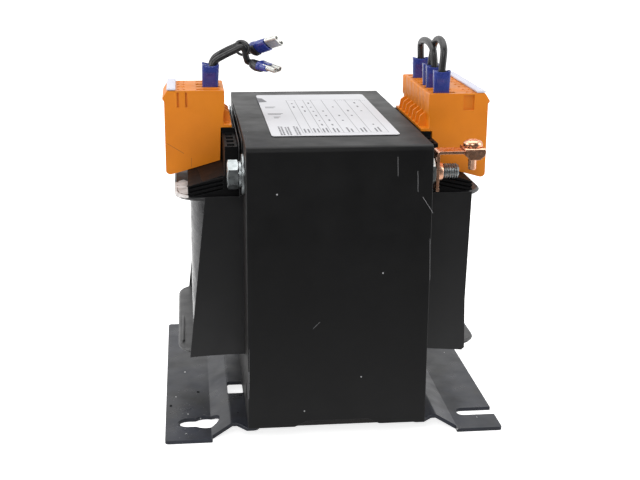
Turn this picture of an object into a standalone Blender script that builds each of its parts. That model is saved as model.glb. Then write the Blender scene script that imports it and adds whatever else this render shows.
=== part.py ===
"""Mains transformer: a laminated EI core with a wound bobbin, clamped on a folded foot plate.

The origin is at the middle of the underside, +Z is up, +X is the side with the eight
way terminal block, and the clamping band's faces look along -Y and +Y.
"""

import math

import bmesh
import bpy
from mathutils import Vector

# Clearance between pieces that touch, in metres as every size here
GAP = 0.0003

# Core
UNIT = 0.029
STACK = 0.092
CORNER_HOLE = 0.0086
SIDE = STACK / 2

# Folded sheet of the foot plate and of the clamping band
SHEET = 0.002
SHEET_BEND = 0.0006
LEDGE_TOP = 0.0077
LEDGE_HALF = SIDE + 0.0079
RISER_FOOT = LEDGE_HALF + 0.0104
PLATE_HALF = RISER_FOOT + 0.0245
PLATE_ENDS = (-0.0860, 0.0890)
PLATE_CORNER = 0.0018
NOTCH = 0.0040
LEDGE_END = 0.0797
EAR_ROOT = LEDGE_HALF - 0.0024
EAR_TIP = LEDGE_HALF - 0.0072
EAR_REACH = (0.0860, 0.0842)
EAR_INNER = SIDE - 0.0060
EAR_DEPTH = 0.008
EAR_RADIUS = 0.004
SLOT_Y = 0.0647
SLOT_WIDTH = 0.0087
SLOT_ROUND = 0.0032
SLOT_END = RISER_FOOT + 0.0045
KEYHOLE_X = RISER_FOOT + 0.0031
KEYHOLE_ROUND = 0.0145
KEYHOLE_SLOT = 0.010
KEYHOLE_REACH = PLATE_HALF - 0.0068
WINDOW_X = (LEDGE_HALF - 0.0076, LEDGE_HALF + 0.0009)
WINDOW_Y = (0.0250, 0.0408)
BAND_FOOT = LEDGE_TOP + 0.0007
BAND_ARCH = 0.0029
ARCH_FLAT = 0.016
ARCH_SIDE = 0.022

# Levels and bolt places of the core on its ledge
CORE_BOTTOM = LEDGE_TOP + GAP
CORE_TOP = CORE_BOTTOM + 5 * UNIT
WINDOW_BOTTOM = CORE_BOTTOM + UNIT
WINDOW_TOP = CORE_TOP - UNIT
BOLT_Y = 2.5 * UNIT
BOLT_Z = CORE_TOP - UNIT / 2

# Bobbin and windings
TUBE_WALL = 0.0018
FLANGE = 0.0025
FLANGE_HALF = SIDE + 0.0350
FLANGE_RADIUS = 0.0145
FLANGE_EDGE = 0.0009
BOBBIN_HALF_Y = 2 * UNIT - 0.001
FLANGE_RIB = 0.0012
FLANGE_RIB_X = FLANGE_HALF - 0.0027
FLANGE_RIB_Y = (-0.043, -0.004)
COIL_HALF = SIDE + 0.0270
PRIMARY = 0.011
INTERLAYER = 0.0008
WRAP = 0.0005
WINDING_RADIUS = 0.003
WINDING_SPREAD = 0.45

# Insulating sheets
LINER = 0.0004
LINER_BEND = SIDE + 0.0040
LINER_RIGHT = COIL_HALF + 0.0001
LINER_BULGE = (0.0008, 0.0, -0.0006, 0.0002)
LINER_LEVELS = (0.0900, 0.0640)
LINER_DROP = 0.0020
LINER_CUT = 0.0014
LINER_LEFT_FOOT = COIL_HALF + 0.0021
LINER_LEFT_TOP = COIL_HALF - 0.0076
LINER_FLARE = 0.0025
SHEET_HALF_Y = 0.062
SHEET_TOPS = (0.1534, 0.1520)
SHEET_THICK = 0.0003
SHEET_CORNER = 0.004

# Terminal carriers
CARRIER_FACE = SIDE + 0.0024
CARRIER_WALL = CARRIER_FACE + 0.0066
CARRIER_TOP = WINDOW_TOP + 0.0255
CARRIER_TOE = CARRIER_FACE + 0.0256
CARRIER_END = 0.0030
COMB_POCKET = 0.0058
COMB_WIDTH = 0.0038
COMB_DEPTH = 0.0075
RIB_PITCH = 0.0021
RIB_GROOVE = 0.0009
RIB_DEPTH = 0.0014
RIB_SLOPE = 0.22
RIB_START = 0.0009
RIBS = 4

# Terminal blocks
POLE = 0.0095
LEFT_POLES = 4
RIGHT_POLES = 8
CLIP_FOOT = CARRIER_TOP + 0.0029
CLIP_TOP = CLIP_FOOT + 0.0088
BLOCK_TOP = CLIP_TOP + 0.0111
BLOCK_INNER = CARRIER_FACE + 0.0051
BLOCK_NECK = CARRIER_FACE + 0.0073
BLOCK_BASE = CARRIER_FACE + 0.0079
BLOCK_DEPTH = 0.0320
BLOCK_OUTER = BLOCK_INNER + BLOCK_DEPTH
BLOCK_TOE = BLOCK_OUTER - 0.0019
BLOCK_CHIN = (BLOCK_BASE + BLOCK_TOE) / 2
BLOCK_TOE_Z = WINDOW_TOP + 0.0028
BLOCK_CHIN_Z = BLOCK_TOE_Z + 0.0038
BLOCK_HEEL_Z = BLOCK_CHIN_Z + 0.0040
CLIP_SHOULDER = (0.0028, 0.0020)
CLIP_TIP = CARRIER_FACE + 0.0014
CLIP_FLOOR = 0.0014
CLIP_WALL = 0.0007
FIN = 0.0011
SLOT_X = (BLOCK_INNER + 0.0021, BLOCK_INNER + 0.0149)
SLOT_OPENING = 0.0039
SLOT_DEPTH = 0.0118
TAB_SOCKET = 0.0120
RING_X = BLOCK_OUTER - 0.0090
RING_OUTER = 0.0023
RING_INNER = 0.0014
RING_DEPTH = 0.0010
JOINT_LINE = 0.0003
ENTRY_SIZE = (0.0038, 0.0070)
ENTRY_Z = BLOCK_TOP - 0.0263
ENTRY_DEPTH = 0.0100
BARB = (0.0010, 0.0042)
BARB_EDGE = (0.0018, 0.0012)
BARB_UNDER = 0.0015
MARKER_X = (BLOCK_OUTER - 0.0062, BLOCK_OUTER - 0.0014)
MARKER_THICK = 0.0010
MARKER_SHORT = 0.0003
END_POCKET_DEPTH = 0.0015
END_POCKET_Z = (BLOCK_TOP - 0.0089, BLOCK_TOP - 0.0010)
LEFT_END_POCKETS = (
    (BLOCK_OUTER - 0.0080, BLOCK_OUTER - 0.0068),
    (BLOCK_OUTER - 0.0124, BLOCK_OUTER - 0.0112),
)
RIGHT_END_POCKETS = ((BLOCK_OUTER - 0.0133, BLOCK_OUTER - 0.0075),)

# Push-on contacts and their sleeves
TAB = (0.0063, 0.0008, 0.0154)
SLEEVE = (0.0086, 0.0033)
SLEEVE_MOUTH = (0.0094, 0.0054)
SLEEVE_MOUTH_HEIGHT = 0.0036
SLEEVE_WALL = 0.0005
SLEEVE_WELL = 0.0030
SLEEVE_SHIFT = 0.0011
SLEEVE_LEAN = 0.0007
SLEEVE_TOP_LEFT = BLOCK_TOP + 0.0121
SLEEVE_TOP_RIGHT = BLOCK_TOP + 0.0118

# Jumpers on the right block
JUMPER = 0.0038
JUMPER_RISE = (0.0146, 0.0113)
JUMPER_LEAN = (0.0014, -0.0036)
JUMPER_ROUND = 0.5
JUMPER_ROWS = ((0, 3), (2, 6))

# Middle lines of the two leads on the left block, each from its sleeve to its free connector
LEAD = 0.0035
LEAD_SIDE = 0.0006
LEAD_STRAIGHT = 0.0022
LOWER_ROW = 1
UPPER_ROW = 2
LOWER_PATH = (
    (-0.0588, -0.0045, 0.1848),
    (-0.0566, -0.0039, 0.1868),
    (-0.0539, -0.0037, 0.1883),
    (-0.0504, -0.0037, 0.1901),
    (-0.0469, -0.0038, 0.1917),
    (-0.0444, -0.0039, 0.1931),
    (-0.0427, -0.0039, 0.1931),
    (-0.0415, -0.0039, 0.1913),
    (-0.0412, -0.0039, 0.1889),
    (-0.0405, -0.0039, 0.1866),
)
UPPER_PATH = (
    (-0.0590, 0.0046, 0.1850),
    (-0.0574, 0.0028, 0.1875),
    (-0.0544, 0.0006, 0.1897),
    (-0.0506, 0.0002, 0.1917),
    (-0.0471, 0.0002, 0.1932),
    (-0.0445, 0.0003, 0.1942),
    (-0.0419, 0.0008, 0.1934),
)

# Free connectors: where the sleeve starts, its aim and the way its width lies
LOWER_START = (-0.0382, -0.0044, 0.1850)
LOWER_AIM = (0.72, -0.66, -0.20)
LOWER_ACROSS = (0.60, 0.75, 0.10)
LOWER_SLEEVE = 0.0098
UPPER_START = (-0.0377, 0.0012, 0.1912)
UPPER_AIM = (0.639, -0.718, 0.275)
UPPER_ACROSS = (0.669, 0.343, -0.659)
UPPER_SLEEVE = 0.0125
CUFF = (0.0074, 0.0042)
FREE_SLEEVE = (0.0080, 0.0052)
FREE_SLEEVE_END = (0.0080, 0.0040)
FREE_SLEEVE_RISE = (0.0005, 0.0009)
RECEPTACLE = (0.0074, 0.0028, 0.0082)
RECEPTACLE_SHEET = 0.0006

# Core bolts and their washers
BOLT = 0.0078
BOLT_FLATS = 0.0130
BOLT_HEAD = 0.0053
LARGE_WASHER = (0.0205, 0.0010)
NUT_WASHER = 0.0160
SPRING_WASHER = (0.0130, 0.0012)
SPRING_SPLIT = 0.0008
THIN_NUT = 0.0022
FULL_NUT = 0.0065
FRONT_STUD_END = SIDE + 0.0162
REAR_STUD_END = SIDE + 0.0110

# Earth bracket and clamp
BRACKET = 0.0015
BRACKET_WIDTH = 0.0105
BRACKET_BOTTOM = BOLT_Z - 0.0095
BRACKET_TOP = BOLT_Z + 0.0110
BRACKET_REACH = SIDE + 0.0292
NECK = (0.0100, 0.0090)
NECK_LENGTH = 0.0026
CLAMP_X = SIDE + 0.0234
CLAMP_SCREW = 0.0040
CLAMP_HEAD = (0.0098, 0.0034)
CLAMP_RECESS = 0.0011
CLAMP_SHANK_END = BRACKET_TOP - 0.0105
SADDLE = (0.0104, 0.0010)
SADDLE_DROP = 0.0047

# Rating label
LABEL_X = (-0.0315, 0.0340)
LABEL_Y = (-0.0635, 0.0690)
LABEL_THICK = 0.0003
LABEL_RADIUS = 0.0025

# Levels that follow from the sizes above
BAND_TOP = CORE_TOP + GAP + SHEET
BAND_FACE = 3 * UNIT + GAP + SHEET
BOBBIN_BOTTOM = WINDOW_BOTTOM + GAP
BOBBIN_TOP = WINDOW_TOP - GAP
COIL_BOTTOM = BOBBIN_BOTTOM + FLANGE + GAP
COIL_TOP = BOBBIN_TOP - FLANGE - GAP
SLOT_FLOOR = BLOCK_TOP - SLOT_DEPTH
SLOT_MIDDLE = (SLOT_X[0] + SLOT_X[1]) / 2
SLEEVE_BOTTOM = SLOT_FLOOR - TAB_SOCKET + GAP + TAB[2] + GAP


def clear_scene():
    """Remove every object of the scene."""
    for thing in list(bpy.data.objects):
        bpy.data.objects.remove(thing, do_unlink=True)


def finish(name, colour, roughness, metallic=0.0):
    """Return a Principled material."""
    material = bpy.data.materials.new(name)
    material.use_nodes = True
    shader = material.node_tree.nodes["Principled BSDF"]
    shader.inputs["Base Color"].default_value = (*colour, 1.0)
    shader.inputs["Roughness"].default_value = roughness
    shader.inputs["Metallic"].default_value = metallic
    return material


def body(name, mesh, material=None, smooth=False):
    """Turn a bmesh into a named object with outward faces."""
    bmesh.ops.recalc_face_normals(mesh, faces=mesh.faces)
    data = bpy.data.meshes.new(name)
    mesh.to_mesh(data)
    mesh.free()
    if smooth:
        data.shade_smooth()
        data.set_sharp_from_angle(angle=math.radians(35))
    thing = bpy.data.objects.new(name, data)
    bpy.context.scene.collection.objects.link(thing)
    if material:
        data.materials.append(material)
    return thing


def helper(name, mesh):
    """Turn a bmesh into a cutter, which no view shows."""
    thing = body(name, mesh)
    thing.hide_render = True
    thing.display_type = "WIRE"
    return thing


def combine(thing, operation, *tools):
    """Join, cut or intersect a body with helpers."""
    for tool in tools:
        step = thing.modifiers.new(operation.title(), "BOOLEAN")
        step.operation = operation
        step.solver = "EXACT"
        step.object = tool
    return thing


def rounded(corners, steps=4):
    """Return an outline from corners of (x, y, radius)."""
    outline = []
    count = len(corners)
    for index, (x, y, radius) in enumerate(corners):
        here = Vector((x, y))
        back = Vector(corners[index - 1][:2]) - here
        ahead = Vector(corners[(index + 1) % count][:2]) - here
        if radius <= 0:
            outline.append(here)
            continue
        to_back = back.normalized()
        to_ahead = ahead.normalized()
        half = to_back.angle(to_ahead) / 2
        reach = min(radius / math.tan(half), 0.49 * min(back.length, ahead.length))
        radius = reach * math.tan(half)
        centre = here + (to_back + to_ahead).normalized() * radius / math.sin(half)
        first = here + to_back * reach - centre
        last = here + to_ahead * reach - centre
        turn = math.atan2(first.x * last.y - first.y * last.x, first.dot(last))
        for step in range(steps + 1):
            angle = turn * step / steps
            spoke = Vector(
                (
                    first.x * math.cos(angle) - first.y * math.sin(angle),
                    first.x * math.sin(angle) + first.y * math.cos(angle),
                )
            )
            outline.append(centre + spoke)
    return outline


def rectangle(x_range, y_range, radius=0.0, steps=4):
    """Return a rectangle's outline with rounded corners."""
    low_x, high_x = x_range
    low_y, high_y = y_range
    corners = (
        (low_x, low_y, radius),
        (high_x, low_y, radius),
        (high_x, high_y, radius),
        (low_x, high_y, radius),
    )
    return rounded(corners, steps)


def disc(centre, radius, segments=24, start=0.0):
    """Return a circle's outline."""
    x, y = centre
    turns = (start + math.tau * step / segments for step in range(segments))
    return [Vector((x + radius * math.cos(a), y + radius * math.sin(a))) for a in turns]


def folded(path, thickness, radius, steps=3):
    """Return the section of a folded sheet: the path is its right side, the sheet lies to its left."""
    points = [Vector(point) for point in path]
    offset = []
    turns = []
    for index, point in enumerate(points):
        before = (point - points[index - 1]).normalized() if index else None
        after = (points[index + 1] - point).normalized() if index < len(points) - 1 else None
        before = before or after
        after = after or before
        left = Vector((-(before + after).y, (before + after).x)).normalized()
        side = Vector((-before.y, before.x))
        offset.append(point + left * thickness / left.dot(side))
        turns.append(before.x * after.y - before.y * after.x)
    right_side = []
    left_side = []
    for point, far, turn in zip(points, offset, turns):
        if abs(turn) < 1e-6:
            right_radius = left_radius = 0.0
        elif turn > 0:
            right_radius, left_radius = radius + thickness, radius
        else:
            right_radius, left_radius = radius, radius + thickness
        right_side.append((point.x, point.y, right_radius))
        left_side.append((far.x, far.y, left_radius))
    return rounded(right_side + left_side[::-1], steps)


def add_prism(mesh, outline, axis, low, high):
    """Add a closed body: an outline in the plane across the axis, from low to high."""
    rings = []
    for level in (low, high):
        ring = []
        for point in outline:
            x, y = point[0], point[1]
            place = {"X": (level, x, y), "Y": (x, level, y), "Z": (x, y, level)}[axis]
            ring.append(mesh.verts.new(place))
        rings.append(ring)
    close_loft(mesh, rings)


def close_loft(mesh, rings):
    """Join rings of equal counts into one closed body."""
    count = len(rings[0])
    for lower, upper in zip(rings, rings[1:]):
        for index in range(count):
            after = (index + 1) % count
            mesh.faces.new((lower[index], lower[after], upper[after], upper[index]))
    mesh.faces.new(rings[0])
    mesh.faces.new(rings[-1])


def prism(name, outline, axis, low, high, material=None, smooth=False):
    """Return an object made of one prism."""
    mesh = bmesh.new()
    add_prism(mesh, outline, axis, low, high)
    if material:
        return body(name, mesh, material, smooth)
    return helper(name, mesh)


def add_loft(mesh, outlines, levels):
    """Add a closed body through outlines that lie across Z at the given levels."""
    rings = []
    for outline, level in zip(outlines, levels):
        rings.append([mesh.verts.new((point[0], point[1], level)) for point in outline])
    close_loft(mesh, rings)


def add_turned(mesh, profile, centre, axis, segments=24, ring=False):
    """Add a turned body: a profile of (along, radius), capped, or closed on itself for a ring."""
    rings = []
    for along, radius in profile:
        circle = []
        for step in range(segments):
            angle = math.tau * step / segments
            u, v = radius * math.cos(angle), radius * math.sin(angle)
            offset = {"X": (along, u, v), "Y": (u, along, v), "Z": (u, v, along)}[axis]
            circle.append(mesh.verts.new(Vector(centre) + Vector(offset)))
        rings.append(circle)
    if not ring:
        close_loft(mesh, rings)
        return
    for lower, upper in zip(rings, rings[1:] + rings[:1]):
        for index in range(segments):
            after = (index + 1) % segments
            mesh.faces.new((lower[index], lower[after], upper[after], upper[index]))


def mirrored(outline, side):
    """Return an outline on the side of X that is wanted."""
    return [Vector((side * point[0], point[1])) for point in outline]


def foot_plate(black):
    """The folded plate that carries the core: two feet, two risers and the ledge between them."""
    under = LEDGE_TOP - SHEET
    path = (
        (-PLATE_HALF, 0.0),
        (-RISER_FOOT, 0.0),
        (-LEDGE_HALF, under),
        (LEDGE_HALF, under),
        (RISER_FOOT, 0.0),
        (PLATE_HALF, 0.0),
    )
    low, high = PLATE_ENDS
    section = folded(path, SHEET, SHEET_BEND)
    plate = prism("base_plate", section, "Y", low - SHEET, high + SHEET, black, True)
    outline = rounded(plan_end(low, -1) + plan_end(high, 1))
    plan = prism("plate_plan", outline, "Z", -SHEET, LEDGE_TOP + SHEET)
    openings = bmesh.new()
    for y in (-SLOT_Y, SLOT_Y):
        add_prism(openings, open_slot(y), "Z", -SHEET, LEDGE_TOP + SHEET)
        add_prism(openings, keyhole(y), "Z", -SHEET, LEDGE_TOP + SHEET)
    for side in (-1, 1):
        for end_side in (-1, 1):
            window = rectangle(WINDOW_X, WINDOW_Y, 0.001, 2)
            outline = [Vector((side * p.x, end_side * p.y)) for p in window]
            add_prism(openings, outline, "Z", -SHEET, LEDGE_TOP + SHEET)
    combine(plate, "INTERSECT", plan)
    combine(plate, "DIFFERENCE", helper("plate_openings", openings))
    return plate


def plan_end(foot_end, end_side):
    """Corners of the plate's plan at one end, counterclockwise: feet, set back risers and ledge ears."""
    corners = []
    for side, reach in ((end_side, EAR_REACH[0]), (-end_side, EAR_REACH[1])):
        half = [
            (side * PLATE_HALF, foot_end, PLATE_CORNER),
            (side * RISER_FOOT, foot_end, 0.0004),
            (side * RISER_FOOT, foot_end - end_side * NOTCH, 0.0004),
            (side * LEDGE_HALF, end_side * LEDGE_END, 0.001),
            (side * EAR_ROOT, end_side * LEDGE_END, 0.001),
            (side * EAR_TIP, end_side * reach, 0.001),
            (side * EAR_INNER, end_side * reach, EAR_RADIUS),
            (side * EAR_INNER, end_side * (EAR_REACH[0] - EAR_DEPTH), EAR_RADIUS),
        ]
        corners += half if side == end_side else half[::-1]
    return tuple(corners)


def open_slot(y):
    """Outline of a fixing slot that runs out through the plate's right edge."""
    half = SLOT_WIDTH / 2
    past = PLATE_HALF + SHEET
    corners = (
        (SLOT_END, y - half, SLOT_ROUND),
        (past, y - half, 0.0),
        (past, y + half, 0.0),
        (SLOT_END, y + half, SLOT_ROUND),
    )
    return rounded(corners, 5)


def keyhole(y):
    """Outline of a fixing keyhole: a round hole and a narrower slot towards the left edge."""
    big, small = KEYHOLE_ROUND / 2, KEYHOLE_SLOT / 2
    meet = math.asin(small / big)
    outline = []
    steps = 18
    for step in range(steps + 1):
        angle = -math.pi + meet + (math.tau - 2 * meet) * step / steps
        outline.append(
            Vector((-KEYHOLE_X + big * math.cos(angle), y + big * math.sin(angle)))
        )
    end = -KEYHOLE_REACH + small
    for step in range(9):
        angle = math.pi / 2 + math.pi * step / 8
        outline.append(Vector((end + small * math.cos(angle), y + small * math.sin(angle))))
    return outline


def core(steel):
    """The two lamination packs: E shapes with the yoke below, I shapes across the top."""
    half = SIDE
    legs_top = WINDOW_TOP - GAP
    outline = (
        (-3 * UNIT, CORE_BOTTOM),
        (3 * UNIT, CORE_BOTTOM),
        (3 * UNIT, legs_top),
        (2 * UNIT, legs_top),
        (2 * UNIT, WINDOW_BOTTOM),
        (UNIT, WINDOW_BOTTOM),
        (UNIT, legs_top),
        (-UNIT, legs_top),
        (-UNIT, WINDOW_BOTTOM),
        (-2 * UNIT, WINDOW_BOTTOM),
        (-2 * UNIT, legs_top),
        (-3 * UNIT, legs_top),
    )
    e_pack = prism("core_e_stack", outline, "X", -half, half, steel)
    i_outline = rectangle((-3 * UNIT, 3 * UNIT), (WINDOW_TOP, CORE_TOP))
    i_pack = prism("core_i_stack", i_outline, "X", -half, half, steel)
    for pack, level in ((e_pack, CORE_BOTTOM + UNIT / 2), (i_pack, BOLT_Z)):
        holes = bmesh.new()
        for y in (-BOLT_Y, BOLT_Y):
            add_prism(holes, disc((y, level), CORNER_HOLE / 2, 20), "X", -STACK, STACK)
        combine(pack, "DIFFERENCE", helper(pack.name + "_holes", holes))


def clamping_band(black):
    """The U shaped band over the top yoke, whose legs run down both faces to the ledge."""
    half = SIDE
    band = prism("clamping_band", band_section(), "X", -half, half, black, True)
    rise = BAND_FOOT + BAND_ARCH
    past = BAND_TOP + SHEET
    corners = (
        (-half - SHEET, past, 0.0),
        (-half - SHEET, BAND_FOOT, 0.0),
        (-ARCH_SIDE, BAND_FOOT, 0.002),
        (-ARCH_FLAT, rise, 0.002),
        (ARCH_FLAT, rise, 0.002),
        (ARCH_SIDE, BAND_FOOT, 0.002),
        (half + SHEET, BAND_FOOT, 0.0),
        (half + SHEET, past, 0.0),
    )
    outline = prism("band_outline", rounded(corners, 3), "Y", -2 * BAND_FACE, 2 * BAND_FACE)
    return combine(band, "INTERSECT", outline)


def band_section():
    """Section of the band across X, with its feet a little long for the outline to trim."""
    inside = 3 * UNIT + GAP
    top = CORE_TOP + GAP
    foot = BAND_FOOT - SHEET
    path = ((-inside, foot), (-inside, top), (inside, top), (inside, foot))
    return folded(path, SHEET, SHEET_BEND, 4)


def bobbin(black):
    """The spool round the centre leg: a tube with a wide flange at each end."""
    hole_x, hole_y = SIDE + GAP, UNIT + GAP
    plate = rectangle(
        (-FLANGE_HALF, FLANGE_HALF), (-BOBBIN_HALF_Y, BOBBIN_HALF_Y), FLANGE_RADIUS, 6
    )
    inset = rectangle(
        (-FLANGE_HALF + FLANGE_EDGE, FLANGE_HALF - FLANGE_EDGE),
        (-BOBBIN_HALF_Y + FLANGE_EDGE, BOBBIN_HALF_Y - FLANGE_EDGE),
        FLANGE_RADIUS - FLANGE_EDGE,
        6,
    )
    outlines = (inset, plate, plate, inset)
    lower = bmesh.new()
    add_loft(lower, outlines, flange_levels(BOBBIN_BOTTOM))
    spool = body("bobbin", lower, black, True)
    upper = bmesh.new()
    add_loft(upper, outlines, flange_levels(BOBBIN_TOP - FLANGE))
    tube = rectangle(
        (-hole_x - TUBE_WALL, hole_x + TUBE_WALL),
        (-hole_y - TUBE_WALL, hole_y + TUBE_WALL),
        WINDING_RADIUS,
        3,
    )
    ribs = bmesh.new()
    rib_top = BOBBIN_BOTTOM + FLANGE + FLANGE_RIB
    for side in (-1, 1):
        section = mirrored(
            rectangle(
                (FLANGE_RIB_X - FLANGE_RIB / 2, FLANGE_RIB_X + FLANGE_RIB / 2),
                (BOBBIN_BOTTOM + FLANGE / 2, rib_top),
            ),
            side,
        )
        add_prism(ribs, section, "Y", FLANGE_RIB_Y[0] * side * -1, FLANGE_RIB_Y[1] * side * -1)
    combine(
        spool,
        "UNION",
        helper("upper_flange", upper),
        prism("spool_tube", tube, "Z", BOBBIN_BOTTOM + FLANGE / 2, BOBBIN_TOP - FLANGE / 2),
        helper("flange_ribs", ribs),
    )
    hole = rectangle((-hole_x, hole_x), (-hole_y, hole_y), 0.0004, 1)
    combine(spool, "DIFFERENCE", prism("spool_hole", hole, "Z", 0.0, BAND_TOP))
    return spool


def flange_levels(bottom):
    """Levels of a flange's rounded rim."""
    return (bottom, bottom + FLANGE_EDGE, bottom + FLANGE - FLANGE_EDGE, bottom + FLANGE)


def windings(copper, paper, film):
    """The coil, from the inside out: first winding, interlayer sheet, second winding, outer wrap."""
    tube = Vector((SIDE + GAP + TUBE_WALL, UNIT + GAP + TUBE_WALL))
    outside = Vector((COIL_HALF, BOBBIN_HALF_Y))
    layers = (
        ("primary_winding", PRIMARY, copper),
        ("interlayer_insulation", INTERLAYER, paper),
        ("secondary_winding", None, copper),
        ("outer_wrap", WRAP, film),
    )
    inner = tube + Vector((GAP, GAP))
    for name, thickness, material in layers:
        if name == "outer_wrap":
            outer = outside
        elif thickness is None:
            outer = outside - Vector((WRAP + GAP, WRAP + GAP))
        else:
            outer = inner + Vector((thickness, thickness))
        if name == "outer_wrap":
            inner = outer - Vector((WRAP, WRAP))
        coil_layer(name, inner, outer, material)
        inner = outer + Vector((GAP, GAP))


def coil_layer(name, inner, outer, material):
    """One layer of the coil: a tube of rounded rectangular section."""
    tube = Vector((SIDE + TUBE_WALL, UNIT + TUBE_WALL))
    inner_radius = WINDING_RADIUS + (inner.y - tube.y) * WINDING_SPREAD
    outer_radius = WINDING_RADIUS + (outer.y - tube.y) * WINDING_SPREAD
    outline = rectangle((-outer.x, outer.x), (-outer.y, outer.y), outer_radius, 5)
    layer = prism(name, outline, "Z", COIL_BOTTOM, COIL_TOP, material, True)
    hole = rectangle((-inner.x, inner.x), (-inner.y, inner.y), inner_radius, 5)
    cutter = prism(name + "_hole", hole, "Z", 0.0, BAND_TOP)
    return combine(layer, "DIFFERENCE", cutter)


def window_liner(name, side, card):
    """A thin stiff sheet between the coil and an outer leg; its left edge is free and leans."""
    inner = side * (BOBBIN_HALF_Y + GAP)
    path = [(LINER_RIGHT + max(LINER_BULGE), inner), (-LINER_BEND, inner)]
    steps = 5
    for step in range(1, steps + 1):
        share = step / steps
        x = -LINER_BEND - (LINER_LEFT_FOOT - LINER_BEND) * share
        path.append((x, inner + side * LINER_FLARE * share**2))
    thickness = LINER if side < 0 else -LINER
    section = folded(path, thickness, 0.0)
    foot = BOBBIN_BOTTOM - LINER_DROP
    sheet = prism(name, section, "Z", foot, BOBBIN_TOP, card)
    top_right, upper_right, lower_right, foot_right = (LINER_RIGHT + step for step in LINER_BULGE)
    corners = (
        (-LINER_LEFT_FOOT + LINER / 2, BOBBIN_BOTTOM, 0.0),
        (SIDE + LINER_CUT, BOBBIN_BOTTOM, 0.0),
        (foot_right - LINER_CUT, foot, 0.0),
        (foot_right, foot + LINER_CUT, 0.0),
        (lower_right, LINER_LEVELS[1], 0.0),
        (upper_right, LINER_LEVELS[0], 0.0),
        (top_right, BOBBIN_TOP + GAP, 0.0),
        (-LINER_LEFT_TOP, BOBBIN_TOP + GAP, 0.0),
    )
    trim = prism(name + "_outline", rounded(corners), "Y", -BAND_FACE, BAND_FACE)
    return combine(sheet, "INTERSECT", trim)


def edge_sheets(side, names, card):
    """Thin sheets that stand between the core's side and the terminal carrier."""
    inner_faces = (SIDE + GAP, CARRIER_FACE - GAP - SHEET_THICK)
    for name, face, top in zip(names, inner_faces, SHEET_TOPS):
        corners = (
            (-SHEET_HALF_Y, WINDOW_TOP, 0.0),
            (SHEET_HALF_Y, WINDOW_TOP, 0.0),
            (SHEET_HALF_Y, top, SHEET_CORNER),
            (-SHEET_HALF_Y, top, SHEET_CORNER),
        )
        low, high = sorted((side * face, side * (face + SHEET_THICK)))
        prism(name, rounded(corners, 3), "X", low, high, card)


def underside(distance):
    """Height of the block's slanted underside at a distance from the middle."""
    slope = (BLOCK_CHIN_Z - BLOCK_HEEL_Z) / (BLOCK_CHIN - BLOCK_BASE)
    return BLOCK_HEEL_Z + slope * (distance - BLOCK_BASE)


def terminal_carrier(side, label, poles, black):
    """The moulding on the upper flange: a wall with wire pockets, and a ribbed wedge under the block."""
    block_half = poles * POLE / 2
    seat = CLIP_FOOT - GAP
    toe_top = underside(CARRIER_TOE) - GAP
    lower = WINDOW_TOP
    profile = (
        (CARRIER_FACE, lower, 0.0),
        (CARRIER_TOE, lower, 0.0),
        (CARRIER_TOE, toe_top, 0.0006),
        (CARRIER_WALL, underside(CARRIER_WALL) - GAP, 0.0),
        (CARRIER_WALL, seat, 0.0005),
        (CARRIER_FACE, seat, 0.0005),
    )
    outline = mirrored(rounded(profile, 2), side)
    end = BOBBIN_HALF_Y
    carrier = prism(f"{label}_terminal_carrier", outline, "Y", -end, end, black)
    trims = bmesh.new()
    for end_side in (-1, 1):
        reach = sorted((end_side * (block_half + GAP), end_side * 2 * end))
        above = rectangle((CARRIER_FACE - 0.002, CARRIER_WALL + 0.002), (CARRIER_TOP, BLOCK_TOP))
        add_prism(trims, mirrored(above, side), "Y", *reach)
    pockets = bmesh.new()
    middle = (CARRIER_FACE + CARRIER_WALL) / 2
    y = (LEFT_POLES / 2 + 0.5) * POLE
    places = [y + step * POLE for step in range(RIGHT_POLES)]
    for place in places:
        if place - COMB_POCKET / 2 < block_half or place + COMB_POCKET / 2 > end - CARRIER_END / 2:
            continue
        for end_side in (-1, 1):
            centre = end_side * place
            outline = rectangle(
                (side * middle - COMB_WIDTH / 2, side * middle + COMB_WIDTH / 2),
                (centre - COMB_POCKET / 2, centre + COMB_POCKET / 2),
            )
            add_prism(pockets, outline, "Z", CARRIER_TOP - COMB_DEPTH, BLOCK_TOP)
    grooves = bmesh.new()
    for end_side in (-1, 1):
        reach = sorted((end_side * (end - RIB_DEPTH), end_side * (end + RIB_DEPTH)))
        for step in range(RIBS):
            add_prism(grooves, mirrored(rib_groove(step), side), "Y", *reach)
    combine(
        carrier,
        "DIFFERENCE",
        helper(f"{label}_carrier_trims", trims),
        helper(f"{label}_carrier_pockets", pockets),
        helper(f"{label}_carrier_grooves", grooves),
    )
    return carrier


def rib_groove(step):
    """Outline of one slanting groove between the ribs at a carrier's end."""
    level = WINDOW_TOP + RIB_START + step * RIB_PITCH
    start = CARRIER_WALL + 0.001
    end = CARRIER_TOE + 0.002
    drop = RIB_SLOPE * (end - start)
    rise = level + drop * 0.55
    return [
        Vector((start, rise)),
        Vector((end, rise - drop)),
        Vector((end, rise - drop + RIB_GROOVE)),
        Vector((start, rise + RIB_GROOVE)),
    ]


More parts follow.
